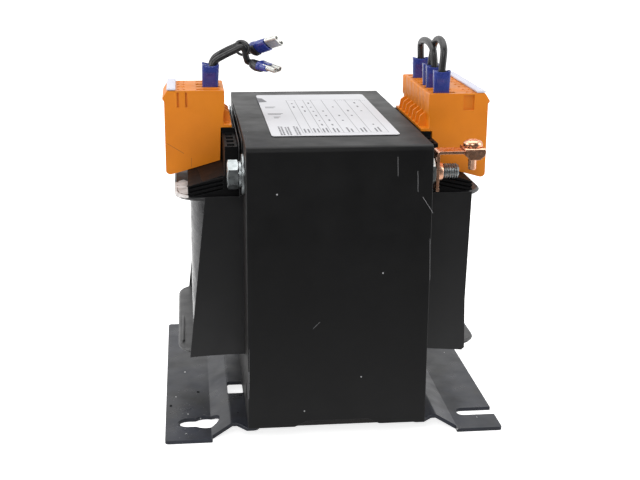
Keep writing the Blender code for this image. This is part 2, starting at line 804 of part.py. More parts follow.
def block_profile():
    """Section of a terminal block across its poles, on the side of +X."""
    barb_out, barb_drop = BARB
    edge_in, edge_drop = BARB_EDGE
    shoulder_out, shoulder_drop = CLIP_SHOULDER
    corners = (
        (BLOCK_BASE, BLOCK_HEEL_Z, 0.0004),
        (BLOCK_CHIN, BLOCK_CHIN_Z, 0.0),
        (BLOCK_TOE, BLOCK_TOE_Z, 0.0022),
        (BLOCK_OUTER, BLOCK_TOE_Z + 0.0014, 0.0015),
        (BLOCK_OUTER, BLOCK_TOP - barb_drop - BARB_UNDER, 0.0003),
        (BLOCK_OUTER + barb_out, BLOCK_TOP - barb_drop, 0.0003),
        (BLOCK_OUTER - edge_in / 2, BLOCK_TOP - edge_drop, 0.0006),
        (BLOCK_OUTER - edge_in, BLOCK_TOP, 0.0003),
        (BLOCK_INNER, BLOCK_TOP, 0.0006),
        (BLOCK_INNER, CLIP_TOP, 0.0),
        (BLOCK_INNER - shoulder_out, CLIP_TOP - shoulder_drop, 0.0005),
        (CLIP_TIP, CLIP_FOOT + CLIP_FLOOR, 0.0),
        (CLIP_TIP, CLIP_FOOT, 0.0),
        (BLOCK_NECK, CLIP_FOOT, 0.0),
    )
    return rounded(corners, 2)


def terminal_block(side, label, poles, orange):
    """One row of terminals, with its clip foot, contact slots, ring marks and wire entries."""
    half = poles * POLE / 2
    outline = mirrored(block_profile(), side)
    block = prism(f"{label}_terminal_block", outline, "Y", -half, half, orange)
    cuts = bmesh.new()
    slots = bmesh.new()
    sockets = bmesh.new()
    rings = bmesh.new()
    lines = bmesh.new()
    for pole in range(poles):
        y = pole_centre(pole, poles)
        low_end = y - POLE if pole == 0 else y - (POLE - FIN) / 2
        high_end = y + POLE if pole == poles - 1 else y + (POLE - FIN) / 2
        add_clip_pocket(cuts, side, low_end, high_end)
        add_wire_entry(cuts, side, y)
        add_contact_slot(slots, side, y)
        add_tab_socket(sockets, side, y)
        add_ring_mark(rings, side, y)
    for pole in range(1, poles):
        add_joint_line(lines, side, pole_centre(pole, poles) - POLE / 2)
    ends = bmesh.new()
    for pocket in LEFT_END_POCKETS if side < 0 else RIGHT_END_POCKETS:
        pocket_outline = mirrored(rectangle(pocket, END_POCKET_Z), side)
        add_prism(ends, pocket_outline, "Y", -half - END_POCKET_DEPTH, -half + END_POCKET_DEPTH)
    combine(
        block,
        "DIFFERENCE",
        helper(f"{label}_block_cuts", cuts),
        helper(f"{label}_block_slots", slots),
        helper(f"{label}_block_sockets", sockets),
        helper(f"{label}_block_rings", rings),
        helper(f"{label}_block_lines", lines),
        helper(f"{label}_block_ends", ends),
    )
    return block


def pole_centre(pole, poles):
    """Place of a pole along Y."""
    return (pole - (poles - 1) / 2) * POLE


def add_clip_pocket(mesh, side, low_end, high_end):
    """The hollow between two fins of the clip foot, which runs out at a block's ends."""
    wall = BLOCK_INNER + CLIP_WALL
    past = CLIP_TIP - SHEET
    corners = (
        (wall, CLIP_FOOT + CLIP_FLOOR),
        (wall, CLIP_TOP - CLIP_WALL),
        (BLOCK_INNER, CLIP_TOP + CLIP_WALL),
        (past, CLIP_TOP + CLIP_WALL),
        (past, CLIP_FOOT + CLIP_FLOOR),
    )
    add_prism(mesh, mirrored(corners, side), "Y", low_end, high_end)


def add_wire_entry(mesh, side, y):
    """The entry for a lead, in the outer face."""
    width, height = ENTRY_SIZE
    outline = rectangle((y - width / 2, y + width / 2), (ENTRY_Z, ENTRY_Z + height), 0.0012, 2)
    reach = sorted((side * (BLOCK_OUTER - ENTRY_DEPTH), side * (BLOCK_OUTER + 0.002)))
    add_prism(mesh, outline, "X", *reach)


def add_contact_slot(mesh, side, y):
    """The slot in a block's top that takes a push-on sleeve."""
    low, high = sorted((side * SLOT_X[0], side * SLOT_X[1]))
    outline = rectangle((low, high), (y - SLOT_OPENING / 2, y + SLOT_OPENING / 2))
    add_prism(mesh, outline, "Z", SLOT_FLOOR, BLOCK_TOP + 0.001)


def add_tab_socket(mesh, side, y):
    """The narrow socket under a slot, which holds the contact tab."""
    middle = side * SLOT_MIDDLE
    half_width = TAB[0] / 2 + GAP
    half_depth = TAB[1] / 2 + GAP
    outline = rectangle(
        (middle - half_width, middle + half_width), (y - half_depth, y + half_depth)
    )
    add_prism(mesh, outline, "Z", SLOT_FLOOR - TAB_SOCKET, SLOT_FLOOR + 0.001)


def add_ring_mark(mesh, side, y):
    """The shallow ring beside a contact slot."""
    profile = (
        (-RING_DEPTH, RING_INNER),
        (-RING_DEPTH, RING_OUTER),
        (RING_DEPTH, RING_OUTER),
        (RING_DEPTH, RING_INNER),
    )
    add_turned(mesh, profile, (side * RING_X, y, BLOCK_TOP), "Z", 12, ring=True)


def add_joint_line(mesh, side, y):
    """The fine line where two poles meet, over the inner face and the top."""
    past_top = BLOCK_TOP + SHEET
    inner = rectangle((BLOCK_INNER - SHEET, BLOCK_INNER + JOINT_LINE), (CLIP_TOP, past_top))
    add_prism(mesh, mirrored(inner, side), "Y", y - JOINT_LINE / 2, y + JOINT_LINE / 2)
    outer = rectangle((BLOCK_OUTER - JOINT_LINE, BLOCK_OUTER + SHEET), (BLOCK_CHIN_Z, past_top))
    add_prism(mesh, mirrored(outer, side), "Y", y - JOINT_LINE / 2, y + JOINT_LINE / 2)


def marker_strip(side, label, poles, lavender):
    """The plain writing strip along the outer edge of a block's top."""
    half = poles * POLE / 2 - MARKER_SHORT
    low, high = MARKER_X
    base = BLOCK_TOP + GAP
    corners = (
        (low, base, 0.0),
        (high, base, 0.0),
        (high, base + MARKER_THICK, 0.0003),
        (low, base + MARKER_THICK, 0.0003),
    )
    outline = mirrored(rounded(corners, 2), side)
    return prism(f"{label}_marker_strip", outline, "Y", -half, half, lavender)


def contact(side, label, pole, poles, brass):
    """A push-on tab that stands in its socket, with bevelled upper corners."""
    width, thickness, height = TAB
    middle = side * SLOT_MIDDLE
    y = pole_centre(pole, poles)
    bottom = SLOT_FLOOR - TAB_SOCKET + GAP
    corners = (
        (middle - width / 2, bottom),
        (middle + width / 2, bottom),
        (middle + width / 2, bottom + height - 0.001),
        (middle + width / 2 - 0.001, bottom + height),
        (middle - width / 2 + 0.001, bottom + height),
        (middle - width / 2, bottom + height - 0.001),
    )
    name = f"{label}_contact_{pole + 1}"
    return prism(name, corners, "Y", y - thickness / 2, y + thickness / 2, brass)


def slot_sleeve(name, side, y, top, blue):
    """An insulated push-on connector in a slot, flared and open at the top round its wire."""
    foot = side * (SLOT_MIDDLE - SLEEVE_SHIFT)
    lean = SLEEVE_LEAN if side < 0 else 0.0
    mouth_start = top - SLEEVE_MOUTH_HEIGHT
    levels = (SLEEVE_BOTTOM, BLOCK_TOP + SHEET, mouth_start, top)
    sizes = (SLEEVE, SLEEVE, SLEEVE_MOUTH, SLEEVE_MOUTH)
    shifts = [lean * (level - SLEEVE_BOTTOM) / (top - SLEEVE_BOTTOM) for level in levels]
    outlines = [sleeve_outline(foot + step, y, *size) for step, size in zip(shifts, sizes)]
    mesh = bmesh.new()
    add_loft(mesh, outlines, levels)
    sleeve = body(name, mesh, blue, True)
    thin = 2 * SLEEVE_WALL
    mouth = foot + lean
    inside = sleeve_outline(mouth, y, SLEEVE_MOUTH[0] - thin, SLEEVE_MOUTH[1] - thin)
    well = bmesh.new()
    add_loft(well, (inside, inside), (top - SLEEVE_WELL, top + SHEET))
    return combine(sleeve, "DIFFERENCE", helper(name + "_well", well))


def sleeve_outline(x, y, width, depth):
    """Outline of a flat oval sleeve across its wire."""
    return rectangle(
        (x - width / 2, x + width / 2), (y - depth / 2, y + depth / 2), depth * 0.42, 3
    )


def smooth_path(points, spacing):
    """Points at an even spacing along a smooth curve through the given points."""
    dense = []
    knots = [Vector(point) for point in points]
    padded = [2 * knots[0] - knots[1], *knots, 2 * knots[-1] - knots[-2]]
    for a, b, c, d in zip(padded, padded[1:], padded[2:], padded[3:]):
        for step in range(24):
            t = step / 24
            dense.append(
                0.5
                * (
                    2 * b
                    + (c - a) * t
                    + (2 * a - 5 * b + 4 * c - d) * t**2
                    + (3 * b - a - 3 * c + d) * t**3
                )
            )
    dense.append(knots[-1])
    lengths = [0.0]
    for first, second in zip(dense, dense[1:]):
        lengths.append(lengths[-1] + (second - first).length)
    count = max(2, round(lengths[-1] / spacing))
    path = []
    place = 0
    for step in range(count + 1):
        target = lengths[-1] * step / count
        while place < len(dense) - 2 and lengths[place + 1] < target:
            place += 1
        span = lengths[place + 1] - lengths[place]
        share = (target - lengths[place]) / span if span else 0.0
        path.append(dense[place].lerp(dense[place + 1], min(share, 1.0)))
    return path


def wire(name, path, diameter, material):
    """A round wire along a path, with filled ends."""
    curve = bpy.data.curves.new(name, "CURVE")
    curve.dimensions = "3D"
    curve.bevel_depth = diameter / 2
    curve.bevel_resolution = 2
    curve.use_fill_caps = True
    spline = curve.splines.new("POLY")
    spline.points.add(len(path) - 1)
    for point, place in zip(spline.points, path):
        point.co = (*place, 1.0)
    curve.materials.append(material)
    thing = bpy.data.objects.new(name, curve)
    bpy.context.scene.collection.objects.link(thing)
    return thing


def jumper_path(rows, rise, lean):
    """Middle line of a jumper: straight out of one sleeve, over, and into the other."""
    middle = SLOT_MIDDLE - SLEEVE_SHIFT
    start, end = (pole_centre(row, RIGHT_POLES) for row in rows)
    foot = SLEEVE_TOP_RIGHT - SLEEVE_WELL + GAP
    points = [(middle, start, foot), (middle, start, SLEEVE_TOP_RIGHT)]
    steps = 8
    for step in range(1, steps):
        angle = math.pi * step / steps
        share = (1 - math.cos(angle)) / 2
        height = math.sin(angle) ** JUMPER_ROUND
        points.append(
            (
                middle + lean * height,
                start + (end - start) * share,
                SLEEVE_TOP_RIGHT + rise * height,
            )
        )
    points += [(middle, end, SLEEVE_TOP_RIGHT), (middle, end, foot)]
    return smooth_path(points, JUMPER * 0.9)


def lead_path(row, way, start, aim):
    """Middle line of a lead, from the well of its sleeve to the face of its free connector."""
    foot = -(SLOT_MIDDLE - SLEEVE_SHIFT) + SLEEVE_LEAN + LEAD_SIDE
    y = pole_centre(row, LEFT_POLES)
    forward = Vector(aim).normalized()
    end = Vector(start) - forward * 2 * GAP
    low = SLEEVE_TOP_LEFT - SLEEVE_WELL + GAP
    points = [(foot, y, low), (foot, y, low + LEAD / 3), *way]
    points += [end - forward * LEAD_STRAIGHT, end]
    return smooth_path(points, LEAD * 0.6)


def free_connector(label, start, aim, across, length, blue, metal):
    """A cuffed sleeve and its push-on receptacle on the free end of a lead."""
    forward = Vector(aim).normalized()
    across = Vector(across)
    across = (across - forward * across.dot(forward)).normalized()
    up = forward.cross(across)
    start = Vector(start)
    stations = (
        (0.0, CUFF, 0.0),
        (length * 0.1, FREE_SLEEVE, FREE_SLEEVE_RISE[0]),
        (length * 0.4, FREE_SLEEVE, FREE_SLEEVE_RISE[0]),
        (length, FREE_SLEEVE_END, FREE_SLEEVE_RISE[1]),
    )
    mesh = bmesh.new()
    rings = []
    for along, size, rise in stations:
        centre = start + forward * along + up * rise
        outline = sleeve_outline(0.0, 0.0, *size)
        rings.append([mesh.verts.new(centre + across * p.x + up * p.y) for p in outline])
    close_loft(mesh, rings)
    body(f"{label}_free_sleeve", mesh, blue, True)
    tip = bmesh.new()
    rings = []
    for along in (length + GAP, length + GAP + RECEPTACLE[2]):
        centre = start + forward * along
        ring = [tip.verts.new(centre + across * x + up * y) for x, y in receptacle_outline()]
        rings.append(ring)
    close_loft(tip, rings)
    body(f"{label}_free_receptacle", tip, metal)


def receptacle_outline():
    """Section of a push-on receptacle: a flat floor whose edges roll over and face down again."""
    half = RECEPTACLE[0] / 2
    height = RECEPTACLE[1]
    sheet = RECEPTACLE_SHEET
    return (
        (-half, 0.0),
        (half, 0.0),
        (half, height * 0.7),
        (half - height * 0.3, height),
        (half - height * 0.75, height * 0.9),
        (half - height * 0.75, height * 0.55),
        (half - height * 0.55, height * 0.55),
        (half - height * 0.5, height * 0.72),
        (half - sheet, height * 0.6),
        (half - sheet, sheet),
        (-half + sheet, sheet),
        (-half + sheet, height * 0.6),
        (-half + height * 0.5, height * 0.72),
        (-half + height * 0.55, height * 0.55),
        (-half + height * 0.75, height * 0.55),
        (-half + height * 0.75, height * 0.9),
        (-half + height * 0.3, height),
        (-half, height * 0.7),
    )


def hexagon(name, centre, low, high, flats, metal):
    """A hexagon along X with its corners turned off at both ends."""
    corner = flats / math.sqrt(3)
    outline = disc((centre[0], centre[1]), corner, 6, math.radians(30))
    head = prism(name, outline, "X", low, high, metal)
    chamfer = (corner - flats / 2) * 0.55
    mesh = bmesh.new()
    profile = (
        (low, flats / 2 * 0.98),
        (low + chamfer, corner * 1.02),
        (high - chamfer, corner * 1.02),
        (high, flats / 2 * 0.98),
    )
    add_turned(mesh, profile, (0.0, *centre), "X", 24)
    return combine(head, "INTERSECT", helper(name + "_turned", mesh))


def core_bolt(name, y, stud_end, zinc):
    """A hexagon headed bolt through the top yoke, head on the left."""
    head_face = -(SIDE + GAP + LARGE_WASHER[1] + GAP + SPRING_WASHER[1] + GAP)
    bolt = hexagon(name, (y, BOLT_Z), head_face - BOLT_HEAD, head_face, BOLT_FLATS, zinc)
    mesh = bmesh.new()
    radius = BOLT / 2
    profile = (
        (head_face - BOLT_HEAD / 2, radius),
        (stud_end - 0.0008, radius),
        (stud_end, radius - 0.0008),
    )
    add_turned(mesh, profile, (0.0, y, BOLT_Z), "X", 24)
    return combine(bolt, "UNION", helper(name + "_shank", mesh))


def washer(name, y, inner_face, diameter, thickness, zinc, hole=CORNER_HOLE, split=False):
    """A flat ring on a core bolt, or a split one."""
    low, high = sorted(inner_face + step for step in (0.0, thickness))
    mesh = bmesh.new()
    bore = hole / 2
    profile = ((low, bore), (low, diameter / 2), (high, diameter / 2), (high, bore))
    add_turned(mesh, profile, (0.0, y, BOLT_Z), "X", 24, ring=True)
    ring = body(name, mesh, zinc, True)
    if split:
        cut = SPRING_SPLIT / 2
        outline = rectangle((y - cut, y + cut), (BOLT_Z, BOLT_Z + diameter))
        combine(ring, "DIFFERENCE", prism(name + "_split", outline, "X", -STACK, STACK))
    return ring


def nut(name, y, inner_face, thickness, zinc):
    """A hexagon nut on the right end of a core bolt."""
    ring = hexagon(name, (y, BOLT_Z), inner_face, inner_face + thickness, BOLT_FLATS, zinc)
    bore = disc((y, BOLT_Z), BOLT / 2 + GAP, 24)
    return combine(ring, "DIFFERENCE", prism(name + "_bore", bore, "X", 0.0, STACK))


def core_fasteners(zinc):
    """Both core bolts with their washers and nuts."""
    for label, side in (("front", -1), ("rear", 1)):
        y = side * BOLT_Y
        core_bolt(f"{label}_core_bolt", y, FRONT_STUD_END if side < 0 else REAR_STUD_END, zinc)
        diameter, thickness = LARGE_WASHER
        face = -(SIDE + GAP)
        washer(f"{label}_head_washer", y, face, diameter, -thickness, zinc)
        face -= thickness + GAP
        spring = f"{label}_spring_washer"
        washer(spring, y, face, SPRING_WASHER[0], -SPRING_WASHER[1], zinc, split=True)
        face = SIDE + GAP
        washer(f"{label}_nut_washer", y, face, NUT_WASHER, thickness, zinc)
        face += thickness + GAP
        nut(f"{label}_core_nut", y, face, THIN_NUT if side < 0 else FULL_NUT, zinc)


def earth_bracket(copper):
    """The folded copper strip on the front bolt, with a drawn neck and a tongue for the clamp."""
    y = -BOLT_Y
    face = SIDE + GAP + LARGE_WASHER[1] + GAP + THIN_NUT + GAP
    half = BRACKET_WIDTH / 2
    path = (
        (face, BRACKET_BOTTOM),
        (face, BRACKET_TOP),
        (BRACKET_REACH, BRACKET_TOP),
    )
    section = folded(path[::-1], BRACKET, 0.0004, 4)
    bracket = prism("earth_bracket", section, "Y", y - half, y + half, copper, True)
    neck = bmesh.new()
    root = face + BRACKET / 2
    tip = face + BRACKET + NECK_LENGTH
    profile = ((root, NECK[0] / 2), (tip - 0.0005, NECK[1] / 2), (tip, NECK[1] / 2 - 0.0004))
    add_turned(neck, profile, (0.0, y, BOLT_Z), "X", 20)
    combine(bracket, "UNION", helper("bracket_neck", neck))
    bore = disc((y, BOLT_Z), BOLT / 2 + GAP, 20)
    combine(bracket, "DIFFERENCE", prism("bracket_bore", bore, "X", 0.0, STACK))
    hole = disc((CLAMP_X, y), CLAMP_SCREW / 2 + GAP, 16)
    combine(bracket, "DIFFERENCE", prism("bracket_hole", hole, "Z", BLOCK_TOE_Z, BLOCK_TOP))
    return bracket


def earth_clamp(copper):
    """The clamp screw and its saddle washer on the bracket's tongue."""
    y = -BOLT_Y
    seat = BRACKET_TOP + GAP
    width, sheet = SADDLE
    outer = BRACKET_WIDTH / 2 + GAP + sheet
    path = (
        (y - outer + sheet, seat - SADDLE_DROP),
        (y - outer + sheet, seat),
        (y + outer - sheet, seat),
        (y + outer - sheet, seat - SADDLE_DROP),
    )
    section = folded(path, sheet, 0.0003, 3)
    low, high = CLAMP_X - width / 2, CLAMP_X + width / 2
    saddle = prism("earth_clamp_washer", section, "X", low, high, copper, True)
    trim_corners = (
        (low - GAP, seat + 2 * sheet, 0.0),
        (low - GAP, seat - SADDLE_DROP * 0.45, 0.0005),
        (CLAMP_X - width * 0.24, seat - SADDLE_DROP, 0.001),
        (CLAMP_X + width * 0.24, seat - SADDLE_DROP, 0.001),
        (high + GAP, seat - SADDLE_DROP * 0.45, 0.0005),
        (high + GAP, seat + 2 * sheet, 0.0),
    )
    trim = prism("saddle_outline", rounded(trim_corners, 2), "Y", -STACK, 0.0)
    hole = disc((CLAMP_X, y), CLAMP_SCREW / 2 + GAP, 16)
    combine(saddle, "INTERSECT", trim)
    combine(saddle, "DIFFERENCE", prism("saddle_hole", hole, "Z", BLOCK_TOE_Z, BLOCK_TOP))
    head_base = seat + sheet + GAP
    diameter, height = CLAMP_HEAD
    profile = [(CLAMP_SHANK_END, CLAMP_SCREW / 2 - 0.0004)]
    profile.append((CLAMP_SHANK_END + 0.0004, CLAMP_SCREW / 2))
    profile.append((head_base, CLAMP_SCREW / 2))
    profile.append((head_base, diameter / 2))
    steps = 4
    rim = height * 0.35
    for step in range(steps + 1):
        angle = math.pi / 2 * step / (steps + 1)
        profile.append(
            (
                head_base + rim + (height - rim) * math.sin(angle),
                diameter / 2 * math.cos(angle) ** 0.7,
            )
        )
    mesh = bmesh.new()
    add_turned(mesh, profile, (CLAMP_X, y, 0.0), "Z", 20)
    screw = body("earth_clamp_screw", mesh, copper, True)
    cross = bmesh.new()
    arm, thin = diameter * 0.29, CLAMP_RECESS / 2
    corners = (
        (thin, thin), (thin, arm), (-thin, arm), (-thin, thin), (-arm, thin), (-arm, -thin),
        (-thin, -thin), (-thin, -arm), (thin, -arm), (thin, -thin), (arm, -thin), (arm, thin),
    )
    outline = [Vector((CLAMP_X + u * 0.8 - v * 0.6, y + u * 0.6 + v * 0.8)) for u, v in corners]
    add_prism(cross, outline, "Z", head_base + height * 0.35, head_base + height * 2)
    return combine(screw, "DIFFERENCE", helper("screw_cross", cross))


def rating_label(white):
    """The plain label on the band's top."""
    outline = rectangle(LABEL_X, LABEL_Y, LABEL_RADIUS, 4)
    bottom = BAND_TOP + GAP
    return prism("rating_label", outline, "Z", bottom, bottom + LABEL_THICK, white)


def wiring(blue, black, metal):
    """The sleeved jumpers on the right block and the two leads on the left one."""
    for rows, rise, lean, letter in zip(JUMPER_ROWS, JUMPER_RISE, JUMPER_LEAN, "ab"):
        for row, end in zip(rows, ("front", "rear")):
            y = pole_centre(row, RIGHT_POLES)
            slot_sleeve(f"jumper_{letter}_{end}_sleeve", 1, y, SLEEVE_TOP_RIGHT, blue)
        wire(f"jumper_{letter}_wire", jumper_path(rows, rise, lean), JUMPER, black)
    lower = ("lower", LOWER_ROW, LOWER_PATH, LOWER_START, LOWER_AIM, LOWER_ACROSS, LOWER_SLEEVE)
    upper = ("upper", UPPER_ROW, UPPER_PATH, UPPER_START, UPPER_AIM, UPPER_ACROSS, UPPER_SLEEVE)
    for label, row, way, start, aim, across, length in (upper, lower):
        slot_sleeve(f"{label}_lead_sleeve", -1, pole_centre(row, LEFT_POLES), SLEEVE_TOP_LEFT, blue)
        wire(f"{label}_lead", lead_path(row, way, start, aim), LEAD, black)
        free_connector(label, start, aim, across, length, blue, metal)


def build():
    """Build every piece of the transformer."""
    clear_scene()
    painted = finish("black paint", (0.018, 0.018, 0.019), 0.42)
    steel = finish("varnished steel", (0.03, 0.03, 0.032), 0.45, 0.4)
    moulded = finish("black moulding", (0.02, 0.02, 0.021), 0.38)
    card = finish("black sheet", (0.022, 0.022, 0.024), 0.3)
    enamelled = finish("enamelled copper", (0.42, 0.16, 0.05), 0.35, 0.8)
    paper = finish("insulating paper", (0.5, 0.42, 0.28), 0.8)
    film = finish("black film", (0.012, 0.012, 0.014), 0.18)
    orange = finish("orange moulding", (0.72, 0.26, 0.035), 0.42)
    lavender = finish("writing strip", (0.78, 0.78, 0.86), 0.5)
    brass = finish("tinned brass", (0.75, 0.7, 0.6), 0.3, 1.0)
    blue = finish("blue sleeve", (0.03, 0.05, 0.27), 0.35)
    rubber = finish("black insulation", (0.015, 0.015, 0.016), 0.45)
    zinc = finish("zinc plate", (0.62, 0.65, 0.66), 0.35, 1.0)
    coppered = finish("copper plate", (0.85, 0.45, 0.3), 0.28, 1.0)
    white = finish("white label", (0.82, 0.82, 0.83), 0.5)

    foot_plate(painted)
    core(steel)
    clamping_band(painted)
    bobbin(moulded)
    windings(enamelled, paper, film)
    window_liner("front_window_liner", -1, card)
    window_liner("rear_window_liner", 1, card)
    edge_sheets(-1, ("left_inner_edge_sheet", "left_outer_edge_sheet"), card)
    edge_sheets(1, ("right_edge_sheet",), card)
    for side, label, poles in ((-1, "left", LEFT_POLES), (1, "right", RIGHT_POLES)):
        terminal_carrier(side, label, poles, moulded)
        terminal_block(side, label, poles, orange)
        marker_strip(side, label, poles, lavender)
        for pole in range(poles):
            contact(side, label, pole, poles, brass)
    wiring(blue, rubber, brass)
    core_fasteners(zinc)
    earth_bracket(coppered)
    earth_clamp(coppered)
    rating_label(white)


build()
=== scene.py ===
"""Mains transformer: finishes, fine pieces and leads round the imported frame, with the studio and the camera.

Every length is in metres in the frame's axes: the origin is at the middle of the underside, +Z is up, +X is
the side of the eight way terminal row, and the clamping band's faces look along -Y and +Y.
"""

import logging
import math
import random
from collections.abc import Iterable, Sequence
from dataclasses import dataclass, field
from enum import Enum
from functools import cache

import bmesh
import bpy
from mathutils import Matrix, Vector, noise


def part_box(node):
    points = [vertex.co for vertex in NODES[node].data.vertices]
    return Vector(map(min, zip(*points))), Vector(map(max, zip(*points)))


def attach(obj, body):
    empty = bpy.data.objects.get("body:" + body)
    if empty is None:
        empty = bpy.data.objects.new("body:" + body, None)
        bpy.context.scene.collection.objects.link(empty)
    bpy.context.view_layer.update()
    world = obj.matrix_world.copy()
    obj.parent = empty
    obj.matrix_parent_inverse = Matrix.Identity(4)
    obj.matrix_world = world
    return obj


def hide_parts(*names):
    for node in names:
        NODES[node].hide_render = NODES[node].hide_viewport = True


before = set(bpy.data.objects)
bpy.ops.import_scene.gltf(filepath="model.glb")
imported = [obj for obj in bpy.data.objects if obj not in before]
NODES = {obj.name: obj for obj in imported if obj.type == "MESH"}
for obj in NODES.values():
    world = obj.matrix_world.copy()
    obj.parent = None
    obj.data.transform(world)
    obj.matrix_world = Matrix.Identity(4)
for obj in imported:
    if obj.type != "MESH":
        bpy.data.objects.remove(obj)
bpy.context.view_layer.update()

LOG = logging.getLogger("mains_transformer")
BODY = "root"

Colour = tuple[float, float, float]
Point = tuple[float, float, float]
Plane = tuple[float, float]
Socket = bpy.types.NodeSocket
Loop = list[bmesh.types.BMVert]

# A spot is its place and size on a face, and a line is its two ends and its width.
Spot = tuple[float, float, float, float]
Line = tuple[Plane, Plane, float]

# A ring of a lofted piece is its place along, its size, its rise and how square it is.
Ring = tuple[float, Plane, float, float]

WHITE = (1.0, 1.0, 1.0)

# Sizes that several pieces share, and the turn under which two faces are one flat face.
POLE_PITCH = 0.0095
WIRE_SPACING = 0.0008
MARK_HEIGHT = 0.00003
WELD = 1e-6
FLAT_TURN = math.radians(0.6)

# Steps between two points of a smooth path, the seed of the sheets' shuffle, the part of a thread's turn that
# slopes, and whole turns that keep its phase positive.
SPLINE_STEPS = 24
SHUFFLE_SEED = 7
THREAD_SLOPE = (0.12, 0.88)
SPARE_TURNS = 64.0


class Side(Enum):
    """The side of the core that a piece is on, as the word that the frame's node names start with."""

    LEFT = "left"
    RIGHT = "right"


class Shape(Enum):
    """What a fine bump on a finish looks like, as the scale of its pattern along each axis."""

    GRAIN = (1.0, 1.0, 1.0)
    BRUSHED = (1.0, 0.06, 1.0)
    STREAKS = (1.0, 0.035, 1.0)


# Node trees and finishes


class Graph:
    """A node tree while it is wired up."""

    def __init__(self, tree: bpy.types.NodeTree) -> None:
        """Start on a tree.

        Args:
            tree: The shader or geometry tree to add to.
        """
        self.tree = tree

    def feed(self, node: bpy.types.Node, inputs: dict) -> None:
        """Give a node its inputs.

        Args:
            node: The node.
            inputs: Values or sockets, by the input's name or place.
        """
        for key, value in inputs.items():
            if isinstance(value, Socket):
                self.tree.links.new(value, node.inputs[key])
            else:
                node.inputs[key].default_value = value

    def add(self, kind: str, inputs: dict | None = None, **settings: object) -> bpy.types.Node:
        """Add a node.

        Args:
            kind: The node's type name.
            inputs: Values or sockets for its inputs, by name or place.
            settings: Properties of the node itself.

        Returns:
            The new node.
        """
        node = self.tree.nodes.new(kind)
        for key, value in settings.items():
            setattr(node, key, value)
        self.feed(node, inputs or {})
        return node

    def math(self, operation: str, *values: object) -> Socket:
        """Add a maths node.

        Args:
            operation: The sum to do.
            values: Its inputs, in order.

        Returns:
            The node's result.
        """
        return self.add("ShaderNodeMath", dict(enumerate(values)), operation=operation).outputs[0]

    def product(self, first: object, *others: object) -> Socket:
        """Return the product of values and sockets, multiplied in order."""
        for other in others:
            first = self.math("MULTIPLY", first, other)
        return first

    def vector(self, **parts: object) -> Socket:
        """Return a vector of the X, Y and Z that are given."""
        return self.add("ShaderNodeCombineXYZ", parts).outputs[0]

    def remap(self, value: Socket, start: Plane, end: Plane, **settings: object) -> Socket:
        """Map one span of values onto another.

        Args:
            value: The value to map.
            start: The span that it comes from.
            end: The span that it goes to.
            settings: Properties of the node itself.

        Returns:
            The mapped value.
        """
        spans = {"From Min": start[0], "From Max": start[1], "To Min": end[0], "To Max": end[1]}
        return self.add("ShaderNodeMapRange", {"Value": value, **spans}, **settings).outputs[0]

    def noise(self, place: Socket, scale: float, detail: float, roughness: float = 0.5) -> Socket:
        """Add a noise texture.

        Args:
            place: The coordinates that it reads.
            scale: Its cells a metre.
            detail: How many finer layers lie on it.
            roughness: How strong the finer layers are.

        Returns:
            Its level.
        """
        inputs = {"Vector": place, "Scale": scale, "Detail": detail, "Roughness": roughness}
        return self.add("ShaderNodeTexNoise", inputs).outputs["Fac"]

    def mix(self, share: Socket, first: object, second: object) -> Socket:
        """Mix two colours.

        Args:
            share: How much of the second colour there is.
            first: The first colour, as a value or a socket.
            second: The second colour.

        Returns:
            The mixed colour.
        """
        inputs = {"Factor": share, "A": first, "B": second}
        return self.add("ShaderNodeMix", inputs, data_type="RGBA").outputs["Result"]


def rgba(colour: Colour) -> tuple[float, float, float, float]:
    """Return a colour with full alpha."""
    return (*colour, 1.0)


